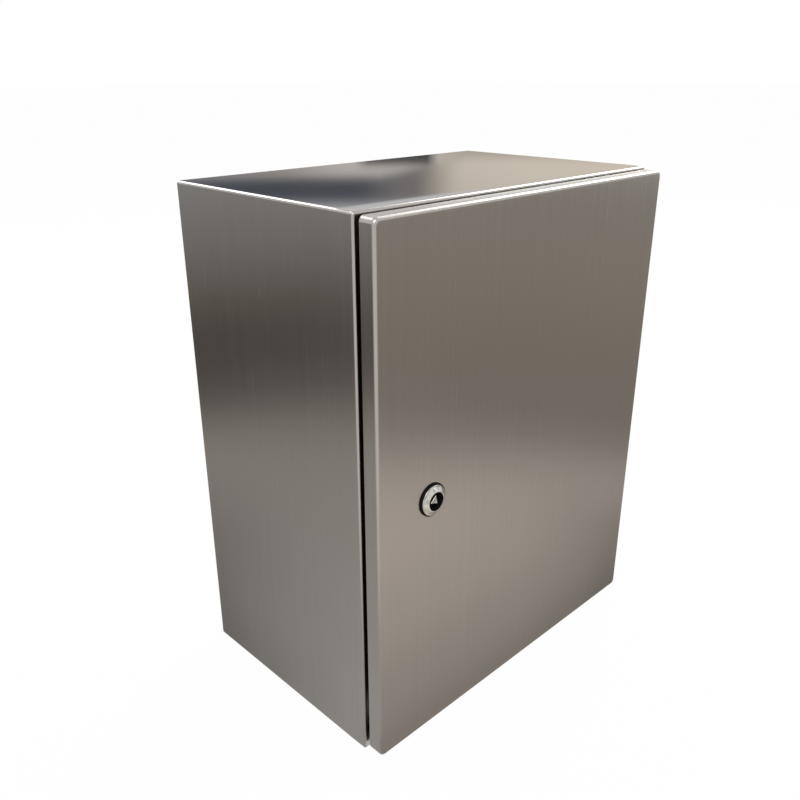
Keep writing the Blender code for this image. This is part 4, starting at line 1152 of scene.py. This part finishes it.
def make_mats():
    """Each is centred on the point where the camera's foot lies mirrored in a wall."""
    foot_x, foot_y = CAMERA_FOOT
    far, front = MAT_REACH, DOOR_LOW.y
    mat(
        "front_mat",
        [(-0.6, front), (-0.6, -far), (far, -far), (far, front)],
        (foot_x, 2 * front - foot_y),
        [(0.60, tint(0.66)), (0.85, tint(0.76)), (1.00, tint(0.79)), (1.14, tint(0.74)),
         (1.27, tint(0.42)), (1.40, tint(0.34)), (1.65, tint(0.34, 1.02, 0.94)),
         (2.10, tint(0.38, 1.02, 0.94)), (2.8, tint(0.42, 1.02, 0.95)), (4.5, tint(0.37))],
        "Y", front,
        [(0.0, 0.62), (0.06, 0.78), (0.14, 0.92), (0.28, 1.0)],
        (-80, -62, -16, -4),
        [(28.5, 0.66), (32, 0.84), (36, 0.95), (41, 1.0), (47, 1.04)],
        (1.03, 1.20),
    )
    mat(
        "left_mat",
        [(-HALF_WIDTH, -0.2), (-HALF_WIDTH, far), (-far, far), (-far, -0.2)],
        (-2 * HALF_WIDTH - foot_x, foot_y),
        [(0.60, tint(0.82, 0.93, 1.07)), (0.70, tint(0.64, 0.94, 1.06)),
         (0.95, tint(0.51, 0.96, 1.04)), (1.22, tint(0.52, 0.99, 1.02)), (1.38, tint(0.36)),
         (1.50, tint(0.15)), (1.85, tint(0.09)), (2.15, tint(0.13, 1.12, 0.88)),
         (2.7, tint(0.30, 1.0, 1.02)), (3.6, tint(0.37, 0.92, 1.10))],
        "X", -HALF_WIDTH,
        [(0.0, 0.72), (0.08, 0.88), (0.2, 1.0), (0.4, 1.0)],
        (84, 102, 146, 166),
        [(117, 0.64), (120, 0.72), (122.5, 0.86), (126, 0.96), (130, 1.02)],
        (1.00, 1.30),
    )


# (bearing in degrees, colour): the room's walls, and lower things in front of them
ROOM_TONES = [
    (20, (0.74, 0.68, 0.59)), (36, (0.78, 0.71, 0.61)), (41, (0.72, 0.66, 0.57)),
    (45, (0.20, 0.19, 0.19)), (49, (0.055, 0.066, 0.090)), (70, (0.055, 0.066, 0.090)),
]
BENCH_TONES = [
    (30, (0.46, 0.41, 0.34)), (41, (0.46, 0.41, 0.34)), (43, (0.62, 0.58, 0.54)),
    (45, (0.62, 0.60, 0.58)), (50, (0.59, 0.55, 0.52)), (52, (0.50, 0.45, 0.41)),
    (54, (0.38, 0.36, 0.34)), (58, (0.35, 0.335, 0.335)), (61, (0.31, 0.32, 0.37)),
]


def make_backdrop_card():
    """Curved card far behind to the right, which the polished top mirrors."""
    radius, height, steps = 3.0, 0.98, 40
    outline = arc(CAMERA_FOOT, radius, 8, 92, steps)
    builder = bmesh.new()
    rows = [[builder.verts.new((x, y, z)) for x, y in outline] for z in (0.0, height)]
    for i in range(steps):
        builder.faces.new((rows[0][i], rows[0][i + 1], rows[1][i + 1], rows[1][i]))

    def build(tree, place):
        moved = from_point(tree, place, CAMERA_FOOT)
        level = node(tree, "SeparateXYZ", {"Vector": moved}).outputs["Z"]
        angle = bearing(tree, moved)
        room, bench = (ramp(tree, angle, 90, stops) for stops in (ROOM_TONES, BENCH_TONES))
        edge = ranged(tree, angle, 0.70, 0.770, 41, 47)
        low_part = ranged(tree, math(tree, "SUBTRACT", level, edge), 1.0, 0.0, -0.010, 0.012)
        tone = mixed(tree, low_part, room, bench)
        dark = math(tree, "MULTIPLY", ranged(tree, level, 1.0, 0.0, 0.722, 0.732),
                    ranged(tree, angle, 0.0, 1.0, 43, 43.8))
        dark = math(tree, "MULTIPLY", dark, ranged(tree, angle, 1.0, 0.0, 47.8, 48.8))
        tone = mixed(tree, dark, tone, (0.06, 0.06, 0.06, 1.0))
        high_part = ranged(tree, level, 0.0, 1.0, 0.845, 0.90)
        return mixed(tree, high_part, tone, (0.72, 0.73, 0.75, 1.0)), 1.0

    reflector("backdrop_card", builder, build)


def lamp(name, place, aim, size, power):
    data = bpy.data.lights.new(name, "AREA")
    data.shape = "RECTANGLE"
    data.size, data.size_y = size
    data.energy = power
    made = add_object(name, data)
    made.location = place
    made.rotation_euler = (Vector(aim) - Vector(place)).to_track_quat("-Z", "Y").to_euler()


def make_world():
    world = bpy.data.worlds.new("studio")
    bpy.context.scene.world = world
    world.use_nodes = True
    tree = world.node_tree
    back = tree.nodes["Background"]
    strength = ranged(tree, seen_directly(tree), 0.55, 1.0)
    back.inputs["Color"].default_value = WHITE
    tree.links.new(strength, back.inputs["Strength"])


def make_studio():
    floor = block("floor", (-FLOOR_HALF, -FLOOR_HALF, -0.02),
                  (FLOOR_HALF, FLOOR_HALF, FLOOR_TOP), pale_surface("pale_floor", 0.80, 0.975))
    make_world()
    make_mats()
    make_backdrop_card()
    aim = (0.0, 0.0, 0.25)
    lamp("key", (-1.8, -2.2, 2.8), aim, (2.4, 2.4), 55)
    lamp("right", (2.8, 0.3, 2.1), aim, (2.4, 1.6), 62)
    lamp("back", (-0.2, 2.7, 2.2), aim, (1.6, 1.0), 28)


make_camera()
make_studio()
bpy.context.scene.view_settings.view_transform = "Standard"
